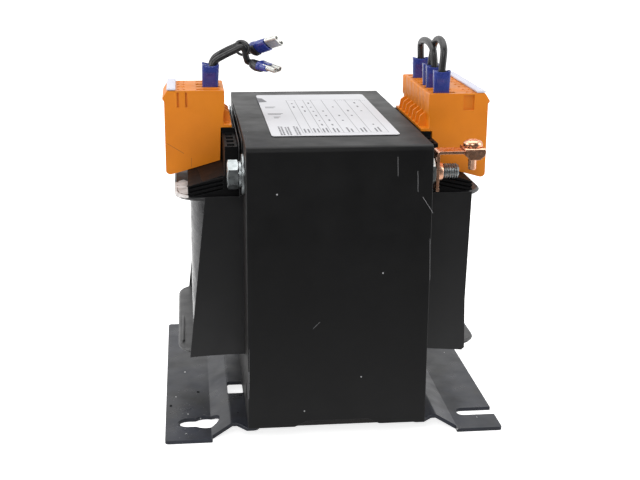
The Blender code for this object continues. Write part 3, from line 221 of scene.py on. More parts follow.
@dataclass(frozen=True)
class Finish:
    """A surface whose colour, gloss and height vary a little over it.

    Scales are in noise cells a metre, and relief and radius are in metres. The fields from cloud_span on are
    the same for every finish.
    """

    name: str
    slot: str
    colour: Colour
    roughness: float
    metallic: float = 0.0
    specular: float = 0.5
    second: Colour | None = None
    mottle: float = 40.0
    mottle_mix: float = 0.35
    gloss_spread: float = 0.06
    relief: float = 0.00002
    grain: float = 1600.0
    shape: Shape = Shape.GRAIN
    # The edge colour is scuffing on some finishes and a painted highlight or sheen on others.
    wear_and_highlight: Colour | None = None
    wear_and_highlight_radius: float = 0.0006
    coat: float = 0.0
    cloud_span: Plane = (0.34, 0.68)
    cloud_depth: float = 0.62
    gloss_span: Plane = (0.3, 0.7)
    gloss_scale: float = 2.3
    wear_and_highlight_grain: float = 420.0
    wear_and_highlight_gain: float = 7.0
    wear_and_highlight_most: float = 0.8
    coat_roughness: float = 0.12

    def material(self) -> bpy.types.Material:
        """Build the material once and return it."""
        known = bpy.data.materials.get(self.name)
        if known:
            return known
        material = bpy.data.materials.new(self.name)
        material.use_nodes = True
        graph = Graph(material.node_tree)
        place = self.coordinates(graph)
        graph.feed(
            material.node_tree.nodes["Principled BSDF"],
            {
                "Metallic": self.metallic,
                "Specular IOR Level": self.specular,
                "Coat Weight": self.coat,
                "Coat Roughness": self.coat_roughness,
                "Base Color": self.tint(graph, place),
                "Roughness": self.gloss(graph, place),
                "Normal": self.surface(graph, place),
            },
        )
        return material

    def coordinates(self, graph: Graph) -> Socket:
        """Return the coordinates that the patterns read."""
        if self.shape is Shape.STREAKS:
            return graph.add("ShaderNodeUVMap", uv_map="along").outputs["UV"]
        return graph.add("ShaderNodeTexCoord").outputs["Object"]

    def tint(self, graph: Graph, place: Socket) -> Socket:
        """Return the base colour, mottled, and changed at its edges where the finish gives an edge colour,
        which is scuffing on some finishes and a painted highlight on others.

        Args:
            graph: The material's tree.
            place: The coordinates that the pattern reads.

        Returns:
            The colour's socket.
        """
        cloud = graph.noise(place, self.mottle, 6.0, self.cloud_depth)
        share = graph.remap(cloud, self.cloud_span, (0.0, self.mottle_mix))
        other = self.second or tuple(min(1.0, part * 1.5 + 0.002) for part in self.colour)
        colour = graph.mix(share, rgba(self.colour), rgba(other))
        if not self.wear_and_highlight:
            return colour
        edge = graph.add("ShaderNodeBevel", {"Radius": self.wear_and_highlight_radius}, samples=6)
        flat = graph.add("ShaderNodeNewGeometry")
        normals = {0: edge.outputs["Normal"], 1: flat.outputs["Normal"]}
        turn = graph.add("ShaderNodeVectorMath", normals, operation="DOT_PRODUCT")
        edge_bend = graph.math("SUBTRACT", 1.0, turn.outputs["Value"])
        wear_and_highlight_share = graph.product(graph.noise(place, self.wear_and_highlight_grain, 3.0), self.wear_and_highlight_gain, edge_bend)
        return graph.mix(graph.math("MINIMUM", wear_and_highlight_share, self.wear_and_highlight_most), colour, rgba(self.wear_and_highlight))

    def gloss(self, graph: Graph, place: Socket) -> Socket:
        """Return the roughness, which varies over the surface.

        Args:
            graph: The material's tree.
            place: The coordinates that the pattern reads.

        Returns:
            The roughness's socket.
        """
        cloud = graph.noise(place, self.mottle * self.gloss_scale, 5.0)
        least = max(0.02, self.roughness - self.gloss_spread)
        most = min(1.0, self.roughness + self.gloss_spread)
        return graph.remap(cloud, self.gloss_span, (least, most))

    def surface(self, graph: Graph, place: Socket) -> Socket:
        """Return the normal under a fine bump.

        Args:
            graph: The material's tree.
            place: The coordinates that the pattern reads.

        Returns:
            The normal's socket.
        """
        grid = graph.add("ShaderNodeMapping", {"Vector": place, "Scale": self.shape.value})
        height = graph.noise(grid.outputs[0], self.grain, 3.0)
        bump = graph.add("ShaderNodeBump", {"Height": height, "Distance": self.relief, "Strength": 1.0})
        return bump.outputs["Normal"]


PLATE_PAINT = Finish(
    "plate_paint", "black_paint", (0.009, 0.0092, 0.0102), 0.34, specular=0.4, second=(0.03, 0.036, 0.058),
    mottle=34.0, mottle_mix=0.7, gloss_spread=0.1, relief=0.00003, grain=700.0, wear_and_highlight=(0.06, 0.06, 0.066),
    wear_and_highlight_radius=0.0004,
)
# The band's lighter edge colour is scuffed paint and also a painted highlight along the sheet's cut edges.
BAND_PAINT = Finish(
    "band_paint", "black_paint", (0.0042, 0.0042, 0.0046), 0.46, specular=0.3, mottle=30.0, mottle_mix=0.25,
    gloss_spread=0.07, relief=0.00002, grain=1100.0, wear_and_highlight=(0.085, 0.085, 0.09), wear_and_highlight_radius=0.0005,
)
CORE_STEEL = Finish(
    "varnished_steel", "core_steel", (0.02, 0.0195, 0.02), 0.42, metallic=0.5, mottle=60.0,
    second=(0.04, 0.032, 0.026), relief=0.00002, grain=700.0,
)
SPOOL_PLASTIC = Finish(
    "spool_plastic", "black_moulding", (0.0115, 0.0115, 0.0125), 0.4, specular=0.8, mottle=70.0,
    relief=0.000025, grain=1300.0, wear_and_highlight=(0.05, 0.05, 0.055), wear_and_highlight_radius=0.0004,
)
CARD = Finish(
    "insulating_sheet", "black_sheet", (0.0095, 0.0095, 0.0102), 0.34, second=(0.015, 0.015, 0.0165),
    mottle=35.0, relief=0.00001, grain=500.0, wear_and_highlight=(0.045, 0.045, 0.05), wear_and_highlight_radius=0.0003,
)
FILM = Finish(
    "film_wrap", "black_film", (0.013, 0.013, 0.0145), 0.28, specular=0.8, second=(0.03, 0.03, 0.033),
    mottle=120.0, mottle_mix=0.8, gloss_spread=0.1, relief=0.0004, grain=240.0, coat=0.35,
)
COPPER_WIRE = Finish(
    "enamelled_wire", "enamelled_copper", (0.36, 0.11, 0.035), 0.32, metallic=0.85, shape=Shape.BRUSHED,
    second=(0.5, 0.2, 0.07), relief=0.0001, grain=1200.0,
)
CARRIER_PLASTIC = Finish(
    "carrier_plastic", "black_moulding", (0.0042, 0.0042, 0.0046), 0.55, specular=0.08, mottle=70.0,
    relief=0.000025, grain=1300.0, wear_and_highlight=(0.04, 0.04, 0.043), wear_and_highlight_radius=0.0003,
)
PAPER = Finish("layer_paper", "insulating_paper", (0.46, 0.38, 0.25), 0.8, mottle=120.0, relief=0.00003)
ORANGE = Finish(
    "orange_block", "orange_moulding", (0.76, 0.225, 0.005), 0.44, specular=0.35, second=(0.62, 0.165, 0.004),
    mottle=45.0, mottle_mix=0.5, relief=0.000018, grain=1500.0, wear_and_highlight=(0.84, 0.4, 0.08), wear_and_highlight_radius=0.00025,
)
SCRATCH = Finish("moulding_scratch", "orange_moulding", (0.42, 0.115, 0.008), 0.6)
STRIP = Finish(
    "pale_strip", "writing_strip", (0.7, 0.7, 0.79), 0.5, specular=0.3, second=(0.64, 0.64, 0.74), mottle=80.0
)
TINNED = Finish(
    "tinned_contact", "contact_metal", (0.78, 0.78, 0.75), 0.42, metallic=0.75, second=(0.5, 0.5, 0.46),
    mottle=420.0, mottle_mix=0.9, relief=0.00003,
)
# The lighter blue edge colour is a painted highlight on the sleeves' rims and edges.
VINYL = Finish(
    "blue_vinyl", "blue_sleeve", (0.016, 0.03, 0.2), 0.26, second=(0.035, 0.06, 0.32), mottle=180.0,
    mottle_mix=0.7, relief=0.00004, grain=700.0, coat=0.5, wear_and_highlight=(0.16, 0.2, 0.56), wear_and_highlight_radius=0.0005,
)
# The bluish edge colour is a painted sheen on the cuff's edges.
CUFF = Finish(
    "dark_cuff", "blue_sleeve", (0.014, 0.0145, 0.018), 0.34, second=(0.05, 0.052, 0.06), mottle=260.0,
    mottle_mix=0.7, relief=0.00006, grain=700.0, wear_and_highlight=(0.09, 0.095, 0.12), wear_and_highlight_radius=0.0004,
)
RUBBER = Finish(
    "wire_insulation", "black_insulation", (0.014, 0.014, 0.015), 0.34, second=(0.035, 0.035, 0.037),
    mottle=220.0, shape=Shape.STREAKS, relief=0.00008, grain=1500.0,
)
ZINC = Finish(
    "zinc_plate", "zinc", (0.46, 0.49, 0.5), 0.34, metallic=1.0, second=(0.27, 0.3, 0.3), mottle=300.0,
    mottle_mix=0.9, gloss_spread=0.1, relief=0.00003, grain=1800.0, wear_and_highlight=(0.9, 0.92, 0.93),
    wear_and_highlight_radius=0.0004,
)
# The pale edge colour is a painted highlight on the copper's edges.
COPPER = Finish(
    "copper_plating", "copper_plate", (1.0, 0.6, 0.42), 0.26, metallic=1.0, second=(0.78, 0.36, 0.2),
    mottle=240.0, mottle_mix=0.9, gloss_spread=0.09, relief=0.00004, wear_and_highlight=(0.95, 0.74, 0.62),
    wear_and_highlight_radius=0.0003,
)
LABEL = Finish(
    "label_face", "label_white", (0.66, 0.66, 0.685), 0.5, specular=0.2, second=(0.61, 0.61, 0.635),
    mottle=35.0,
)
PRINT = Finish("label_print", "label_white", (0.16, 0.16, 0.172), 0.6, specular=0.3)
FAINT_PRINT = Finish("label_faint_print", "label_white", (0.27, 0.27, 0.285), 0.6, specular=0.3)
TORN = Finish(
    "torn_paper", "insulating_paper", (0.72, 0.69, 0.68), 0.7, second=(0.3, 0.27, 0.25), mottle=230.0,
    mottle_mix=0.8,
)
# Pale specks, scratches and flakes in the paint, and the painted highlight lines down the band's left edge.
DUST_AND_HIGHLIGHT = Finish("paint_specks_and_highlights", "black_paint", (0.3, 0.3, 0.31), 0.6)
CHIP = Finish("bare_chips", "black_paint", (0.7, 0.7, 0.7), 0.6, specular=0.3)
SCUFF = Finish("dark_scuff", "black_paint", (0.003, 0.003, 0.0033), 0.8, specular=0.05)


# Meshes


def add_object(name: str, data: bpy.types.ID) -> bpy.types.Object:
    """Return a new object of the scene that shows some data."""
    thing = bpy.data.objects.new(name, data)
    bpy.context.scene.collection.objects.link(thing)
    return thing


def piece(name: str, mesh: bmesh.types.BMesh, finish: Finish, smooth: float = 35.0) -> bpy.types.Object:
    """Turn a bmesh into an object.

    Args:
        name: The object's name.
        mesh: The mesh, which is freed.
        finish: Its finish.
        smooth: Edges that turn by more than this angle, in degrees, stay sharp.

    Returns:
        The object, in the scene.
    """
    bmesh.ops.recalc_face_normals(mesh, faces=mesh.faces)
    data = bpy.data.meshes.new(name)
    mesh.to_mesh(data)
    mesh.free()
    data.shade_smooth()
    data.set_sharp_from_angle(angle=math.radians(smooth))
    data.materials.append(finish.material())
    return add_object(name, data)


def flatten(thing: bpy.types.Object) -> bpy.types.Object:
    """Replace a piece's live modifiers by their result.

    Args:
        thing: The piece.

    Returns:
        The same piece with a plain mesh.
    """
    bpy.context.view_layer.update()
    graph = bpy.context.evaluated_depsgraph_get()
    data = bpy.data.meshes.new_from_object(thing.evaluated_get(graph))
    thing.modifiers.clear()
    thing.data = data
    return thing


def settle(thing: bpy.types.Object, finish: Finish, *nodes: str) -> bpy.types.Object:
    """Hand a finished piece to the frame.

    Args:
        thing: The piece, with its place in its mesh.
        finish: Not used.
        nodes: The CAD nodes that it stands for.

    Returns:
        The same piece.
    """
    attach(thing, BODY)
    if nodes:
        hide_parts(*nodes)
    return thing


def dress(node: str, finish: Finish) -> None:
    """Give a CAD node that stays a finish."""
    thing = NODES[node]
    thing.data.materials.clear()
    thing.data.materials.append(finish.material())


def merged(node: str) -> bmesh.types.BMesh:
    """Return a copy of a CAD node's mesh with its loose triangles joined into flat faces."""
    mesh = bmesh.new()
    mesh.from_mesh(NODES[node].data)
    bmesh.ops.remove_doubles(mesh, verts=mesh.verts, dist=WELD)
    bmesh.ops.dissolve_limit(
        mesh, angle_limit=FLAT_TURN, verts=mesh.verts, edges=mesh.edges, use_dissolve_boundaries=False
    )
    return mesh


def softened(
    node: str, finish: Finish, width: float, steps: int = 2, angle: float = 32.0
) -> bpy.types.Object:
    """Make a node's soft edged copy and let it stand for the node.

    Args:
        node: The CAD node.
        finish: Its finish.
        width: How far an edge is rounded.
        steps: Faces across a rounded edge.
        angle: Edges that turn by less than this, in degrees, are left.

    Returns:
        The new piece.
    """
    thing = piece(f"{node}_body", merged(node), finish, smooth=40.0)
    edge = thing.modifiers.new("edges", "BEVEL")
    edge.width = width
    edge.segments = steps
    edge.limit_method = "ANGLE"
    edge.angle_limit = math.radians(angle)
    edge.use_clamp_overlap = False
    edge.harden_normals = True
    flatten(thing)
    return settle(thing, finish, node)


def turns(count: int) -> list[tuple[float, float]]:
    """Return the cosine and sine of evenly spaced angles of a full turn."""
    return [(math.cos(math.tau * step / count), math.sin(math.tau * step / count)) for step in range(count)]


def distances(path: Sequence[Vector]) -> list[float]:
    """Return how far along a path each of its points lies."""
    lengths = [0.0]
    for first, second in zip(path, path[1:]):
        lengths.append(lengths[-1] + (second - first).length)
    return lengths


def smooth_path(points: Sequence[Sequence[float]], spacing: float) -> list[Vector]:
    """Return points at an even spacing along a smooth curve.

    Args:
        points: The points that the curve goes through.
        spacing: The distance wanted between two points of the result.

    Returns:
        The points, with both ends among them.
    """
    knots = [Vector(point) for point in points]
    padded = [2 * knots[0] - knots[1], *knots, 2 * knots[-1] - knots[-2]]
    dense: list[Vector] = []
    for a, b, c, d in zip(padded, padded[1:], padded[2:], padded[3:]):
        for step in range(SPLINE_STEPS):
            t = step / SPLINE_STEPS
            dense.append(
                0.5
                * (2 * b + (c - a) * t + (2 * a - 5 * b + 4 * c - d) * t**2 + (3 * b - a - 3 * c + d) * t**3)
            )
    dense.append(knots[-1])
    lengths = distances(dense)
    count = max(2, round(lengths[-1] / spacing))
    path: list[Vector] = []
    place = 0
    for step in range(count + 1):
        target = lengths[-1] * step / count
        while place < len(dense) - 2 and lengths[place + 1] < target:
            place += 1
        span = lengths[place + 1] - lengths[place]
        share = (target - lengths[place]) / span if span else 0.0
        path.append(dense[place].lerp(dense[place + 1], min(share, 1.0)))
    return path


def frames_along(path: Sequence[Vector]) -> list[tuple[Vector, Vector]]:
    """Return two directions across a path at each of its points, turning as little as they can."""
    aims = []
    for index in range(len(path)):
        before = path[max(index - 1, 0)]
        after = path[min(index + 1, len(path) - 1)]
        aims.append((after - before).normalized())
    side = aims[0].orthogonal().normalized()
    frames = []
    for aim in aims:
        side = (side - aim * side.dot(aim)).normalized()
        frames.append((side, aim.cross(side)))
    return frames


def add_loop(mesh: bmesh.types.BMesh, points: Iterable[Sequence[float]]) -> Loop:
    """Add a ring of points."""
    return [mesh.verts.new(point) for point in points]


def join_loops(
    mesh: bmesh.types.BMesh, loops: Sequence[Loop], closed: bool = False
) -> None:
    """Join rings of equal counts by faces.

    Args:
        mesh: The mesh to add to.
        loops: The rings, in order.
        closed: True where the last ring joins the first, and false where both ends get a face.
    """
    count = len(loops[0])
    pairs = list(zip(loops, loops[1:])) + ([(loops[-1], loops[0])] if closed else [])
    for lower, upper in pairs:
        for index in range(count):
            after = (index + 1) % count
            mesh.faces.new((lower[index], lower[after], upper[after], upper[index]))
    if not closed:
        mesh.faces.new(loops[0][::-1])
        mesh.faces.new(loops[-1])


def oval(width: float, depth: float, power: float = 2.6, count: int = 28) -> list[Plane]:
    """Return a rounded oblong outline.

    Args:
        width: Its full width.
        depth: Its full depth.
        power: How square it is, from 2 for an ellipse.
        count: How many points it has.

    Returns:
        Its points.
    """
    return [
        (
            width / 2 * math.copysign(abs(c) ** (2 / power), c),
            depth / 2 * math.copysign(abs(s) ** (2 / power), s),
        )
        for c, s in turns(count)
    ]


def thick_line(line: Sequence[Plane], thickness: float) -> list[Plane]:
    """Return the outline of an open line that has a thickness."""
    left, right = [], []
    for index, (u, v) in enumerate(line):
        before = Vector(line[max(index - 1, 0)])
        after = Vector(line[min(index + 1, len(line) - 1)])
        way = (after - before).normalized()
        side = Vector((-way.y, way.x)) * thickness / 2
        left.append((u + side.x, v + side.y))
        right.append((u - side.x, v - side.y))
    return left + right[::-1]


def level_patch(span_x: Plane, span_y: Plane, z: float) -> bmesh.types.BMesh:
    """Return a mesh of one level rectangle.

    Args:
        span_x: Its lowest and highest X.
        span_y: Its lowest and highest Y.
        z: Its level.

    Returns:
        The mesh.
    """
    mesh = bmesh.new()
    (left, right), (front, back) = span_x, span_y
    corners = ((left, front, z), (right, front, z), (right, back, z), (left, back, z))
    mesh.faces.new(add_loop(mesh, corners))
    return mesh


@dataclass
class Wire:
    """A round insulated wire along a path, with a UV map that runs along it."""

    name: str
    path: list[Vector]
    diameter: float
    sides: int = 18
    closed: bool = False

    def build(self) -> bpy.types.Object:
        """Sweep the wire and return it."""
        mesh = bmesh.new()
        layer = mesh.loops.layers.uv.new("along")
        loops = []
        for point, (side, up) in zip(self.path, frames_along(self.path)):
            ring = (point + (side * c + up * s) * self.diameter / 2 for c, s in turns(self.sides))
            loops.append(add_loop(mesh, ring))
        join_loops(mesh, loops, closed=self.closed)
        round_it = math.pi * self.diameter
        places = {}
        for along, ring in zip(distances(self.path), loops):
            for step, vert in enumerate(ring):
                places[vert] = (round_it * step / self.sides, along)
        for face in mesh.faces:
            across = [places[loop.vert][0] for loop in face.loops]
            wraps = max(across) - min(across) > round_it / 2 and len(face.verts) == 4
            for loop in face.loops:
                u, v = places[loop.vert]
                if wraps and u < round_it / 2:
                    u += round_it
                loop[layer].uv = (u, v)
        return piece(self.name, mesh, RUBBER, 50.0)


# Geometry Nodes


def geometry_tree(name: str, inputs: dict[str, str]) -> tuple[Graph, dict[str, Socket], bpy.types.Node]:
    """Start a geometry tree.

    Args:
        name: The tree's name.
        inputs: The kind of each input after the geometry, by its name.

    Returns:
        The graph, what each input gives by its name, and the output node.
    """
    tree = bpy.data.node_groups.new(name, "GeometryNodeTree")
    tree.interface.new_socket("Geometry", in_out="INPUT", socket_type="NodeSocketGeometry")
    for label, kind in inputs.items():
        tree.interface.new_socket(label, in_out="INPUT", socket_type=f"NodeSocket{kind}")
    tree.interface.new_socket("Geometry", in_out="OUTPUT", socket_type="NodeSocketGeometry")
    graph = Graph(tree)
    given = {socket.name: socket for socket in graph.add("NodeGroupInput").outputs}
    return graph, given, graph.add("NodeGroupOutput")


def finish_tree(graph: Graph, source: Socket, material: Socket, end: bpy.types.Node) -> None:
    """End a tree in Realize Instances and Set Material.

    Args:
        graph: The tree.
        source: The geometry that comes out of it.
        material: The socket that gives the material.
        end: The output node.
    """
    real = graph.add("GeometryNodeRealizeInstances", {0: source})
    done = graph.add("GeometryNodeSetMaterial", {"Geometry": real.outputs[0], "Material": material})
    graph.feed(end, {0: done.outputs[0]})


def random_vector(graph: Graph, low: Socket, high: Socket, seed: object) -> Socket:
    """Return a random vector between two.

    Args:
        graph: The tree to add to.
        low: Its lowest parts.
        high: Its highest parts.
        seed: The seed, as a number or a socket.

    Returns:
        The vector's socket.
    """
    inputs = {0: low, 1: high, "Seed": seed}
    return graph.add("FunctionNodeRandomValue", inputs, data_type="FLOAT_VECTOR").outputs[0]


def run_tree(thing: bpy.types.Object, tree: bpy.types.NodeTree, values: dict[str, object]) -> None:
    """Run a geometry tree on a piece and keep its result as a plain mesh.

    Args:
        thing: The piece.
        tree: The tree.
        values: Its inputs by name.
    """
    step = thing.modifiers.new(tree.name, "NODES")
    step.node_group = tree
    for item in tree.interface.items_tree:
        if item.item_type == "SOCKET" and item.in_out == "INPUT" and item.name in values:
            step[item.identifier] = values[item.name]
    flatten(thing)


@cache
def stack_tree() -> bpy.types.NodeTree:
    """Return the tree that repeats a sheet along X, each one a hair out of line."""
    graph, given, end = geometry_tree(
        "sheet_stack",
        {"Count": "Int", "Pitch": "Float", "Start": "Float", "Shuffle": "Float", "Finish": "Material"},
    )
    ends = {"Start Location": graph.vector(X=given["Start"]), "Offset": graph.vector(X=given["Pitch"])}
    line = graph.add("GeometryNodeMeshLine", {"Count": given["Count"], **ends})
    back = graph.product(given["Shuffle"], -1.0)
    low = graph.vector(Y=back, Z=back)
    high = graph.vector(Y=given["Shuffle"], Z=given["Shuffle"])
    shuffle = random_vector(graph, low, high, SHUFFLE_SEED)
    moved = graph.add("GeometryNodeSetPosition", {"Geometry": line.outputs[0], "Offset": shuffle})
    copies = graph.add(
        "GeometryNodeInstanceOnPoints", {"Points": moved.outputs[0], "Instance": given["Geometry"]}
    )
    finish_tree(graph, copies.outputs[0], given["Finish"], end)
    return graph.tree


@cache
def thread_tree() -> bpy.types.NodeTree:
    """Return the tree that presses a helical thread into a round shank along X."""
    graph, given, end = geometry_tree(
        "shank_thread",
        {
            "Pitch": "Float", "Depth": "Float", "From": "Float", "Centre Y": "Float", "Centre Z": "Float",
            "Finish": "Material",
        },
    )
    place = graph.add("ShaderNodeSeparateXYZ", {0: graph.add("GeometryNodeInputPosition").outputs[0]}).outputs
    y = graph.math("SUBTRACT", place["Y"], given["Centre Y"])
    z = graph.math("SUBTRACT", place["Z"], given["Centre Z"])
    radius = graph.math("SQRT", graph.math("ADD", graph.product(y, y), graph.product(z, z)))
    turn = graph.math("DIVIDE", graph.math("ARCTAN2", z, y), math.tau)
    run = graph.math("DIVIDE", place["X"], given["Pitch"])
    phase = graph.math("FRACT", graph.math("ADD", graph.math("SUBTRACT", run, turn), SPARE_TURNS))
    slope = graph.math("ABSOLUTE", graph.math("SUBTRACT", graph.product(phase, 2.0), 1.0))
    valley = graph.remap(slope, THREAD_SLOPE, (0.0, 1.0))
    rim = graph.math("GREATER_THAN", radius, graph.product(given["Depth"], 2.0))
    past = graph.math("GREATER_THAN", place["X"], given["From"])
    cut = graph.product(valley, given["Depth"], graph.product(rim, past))
    scale = graph.math("DIVIDE", cut, graph.math("MAXIMUM", radius, 0.0001))
    push = graph.vector(Y=graph.product(y, scale, -1.0), Z=graph.product(z, scale, -1.0))
    moved = graph.add("GeometryNodeSetPosition", {"Geometry": given["Geometry"], "Offset": push})
    finish_tree(graph, moved.outputs[0], given["Finish"], end)
    return graph.tree


@cache
def speck_tree() -> bpy.types.NodeTree:
    """Return the tree that scatters small flakes over a surface."""
    graph, given, end = geometry_tree(
        "speck_scatter", {"Density": "Float", "Size": "Float", "Seed": "Int", "Finish": "Material"}
    )
    points = graph.add(
        "GeometryNodeDistributePointsOnFaces",
        {"Mesh": given["Geometry"], "Density": given["Density"], "Seed": given["Seed"]},
    ).outputs
    speck = graph.add("GeometryNodeMeshIcoSphere", {"Radius": given["Size"], "Subdivisions": 1})
    low = graph.vector(X=0.3, Y=0.3, Z=0.12)
    high = graph.vector(X=1.0, Y=0.6, Z=0.2)
    copies = graph.add(
        "GeometryNodeInstanceOnPoints",
        {
            "Points": points["Points"],
            "Instance": speck.outputs["Mesh"],
            "Rotation": points["Rotation"],
            "Scale": random_vector(graph, low, high, given["Seed"]),
        },
    )
    finish_tree(graph, copies.outputs[0], given["Finish"], end)
    return graph.tree


# Marks


def strip(start: Plane, end: Plane, width: float) -> list[Plane]:
    """Return the outline of a straight mark.

    Args:
        start: Its first end.
        end: Its other end.
        width: Its width.

    Returns:
        Its four corners.
    """
    way = (Vector(end) - Vector(start)).normalized()
    side = Vector((-way.y, way.x)) * width / 2
    first, last = Vector(start), Vector(end)
    return [tuple(first - side), tuple(last - side), tuple(last + side), tuple(first + side)]


def flake(centre: Plane, size: Plane, chance: random.Random, count: int = 9) -> list[Plane]:
    """Return the ragged outline of a chip or spot.

    Args:
        centre: Its middle.
        size: Its full width and depth.
        chance: Where its raggedness comes from.
        count: How many corners it has.

    Returns:
        Its corners.
    """
    outline = []
    for c, s in turns(count):
        reach = chance.uniform(0.65, 1.0)
        outline.append((centre[0] + size[0] / 2 * reach * c, centre[1] + size[1] / 2 * reach * s))
    return outline


def ragged(outline: Sequence[Plane], depth: float, chance: random.Random, cuts: int = 5) -> list[Plane]:
    """Return an outline whose sides are torn.

    Args:
        outline: The plain outline.
        depth: How deep the tears go.
        chance: Where their raggedness comes from.
        cuts: The points on each side.

    Returns:
        The torn outline.
    """
    middle = sum((Vector(point) for point in outline), Vector((0.0, 0.0))) / len(outline)
    torn = []
    for first, second in zip(outline, [*outline[1:], outline[0]]):
        for step in range(cuts):
            point = Vector(first).lerp(Vector(second), step / cuts)
            torn.append(tuple(point + (middle - point).normalized() * chance.uniform(0.0, depth)))
    return torn


@dataclass(frozen=True)
class Face:
    """A flat face that marks lie on, with two directions along it."""

    origin: Point
    right: Point
    up: Point

    def mark(
        self, name: str, finish: Finish, shapes: Iterable[Sequence[Plane]], height: float = MARK_HEIGHT
    ) -> None:
        """Add thin raised marks to the face as one piece.

        Args:
            name: The piece's name.
            finish: Its finish.
            shapes: The outlines of the marks on the face.
            height: How far they stand proud.
        """
        mesh = bmesh.new()
        origin, right, up = Vector(self.origin), Vector(self.right), Vector(self.up)
        out = right.cross(up).normalized() * height
        for shape in shapes:
            base = [origin + right * u + up * v for u, v in shape]
            loops = [add_loop(mesh, base), add_loop(mesh, (point + out for point in base))]
            join_loops(mesh, loops)
        settle(piece(name, mesh, finish), finish)


def level_face(height: float) -> Face:
    """Return the upward face at a height, whose marks are placed by X and Y."""
    return Face((0.0, 0.0, height), (1.0, 0.0, 0.0), (0.0, 1.0, 0.0))


def front_face(y: float) -> Face:
    """Return the face that looks along -Y at a place, whose marks are placed by X and Z."""
    return Face((0.0, y, 0.0), (1.0, 0.0, 0.0), (0.0, 0.0, 1.0))


@dataclass(frozen=True)
class Specks:
    """Specks on a level rectangle: its spans, how many on a square metre, their largest size and the seed."""

    name: str
    span_x: Plane
    span_y: Plane
    density: float
    size: float
    seed: int

    def scatter(self, level: float, from_x: float = 0.0) -> None:
        """Scatter the specks.

        Args:
            level: The rectangle's level.
            from_x: Where its X is counted from.
        """
        first, last = self.span_x
        thing = piece(self.name, level_patch((from_x + first, from_x + last), self.span_y, level), DUST_AND_HIGHLIGHT)
        values = {"Density": self.density, "Size": self.size, "Seed": self.seed, "Finish": DUST_AND_HIGHLIGHT.material()}
        run_tree(thing, speck_tree(), values)
        settle(thing, DUST_AND_HIGHLIGHT)


# Sub-assemblies


@dataclass(frozen=True)
class Lamp:
    """A soft box: its place, what it is turned to, its width and height, and its power in watts."""

    name: str
    place: Point
    target: Point
    size: Plane
    power: float

    def hang(self) -> None:
        """Add the lamp to the scene."""
        data = bpy.data.lights.new(self.name, "AREA")
        data.shape = "RECTANGLE"
        data.size, data.size_y = self.size
        data.energy = self.power
        aim = Vector(self.target) - Vector(self.place)
        turn = aim.to_track_quat("-Z", "Y").to_matrix().to_4x4()
        add_object(self.name, data).matrix_world = Matrix.Translation(self.place) @ turn


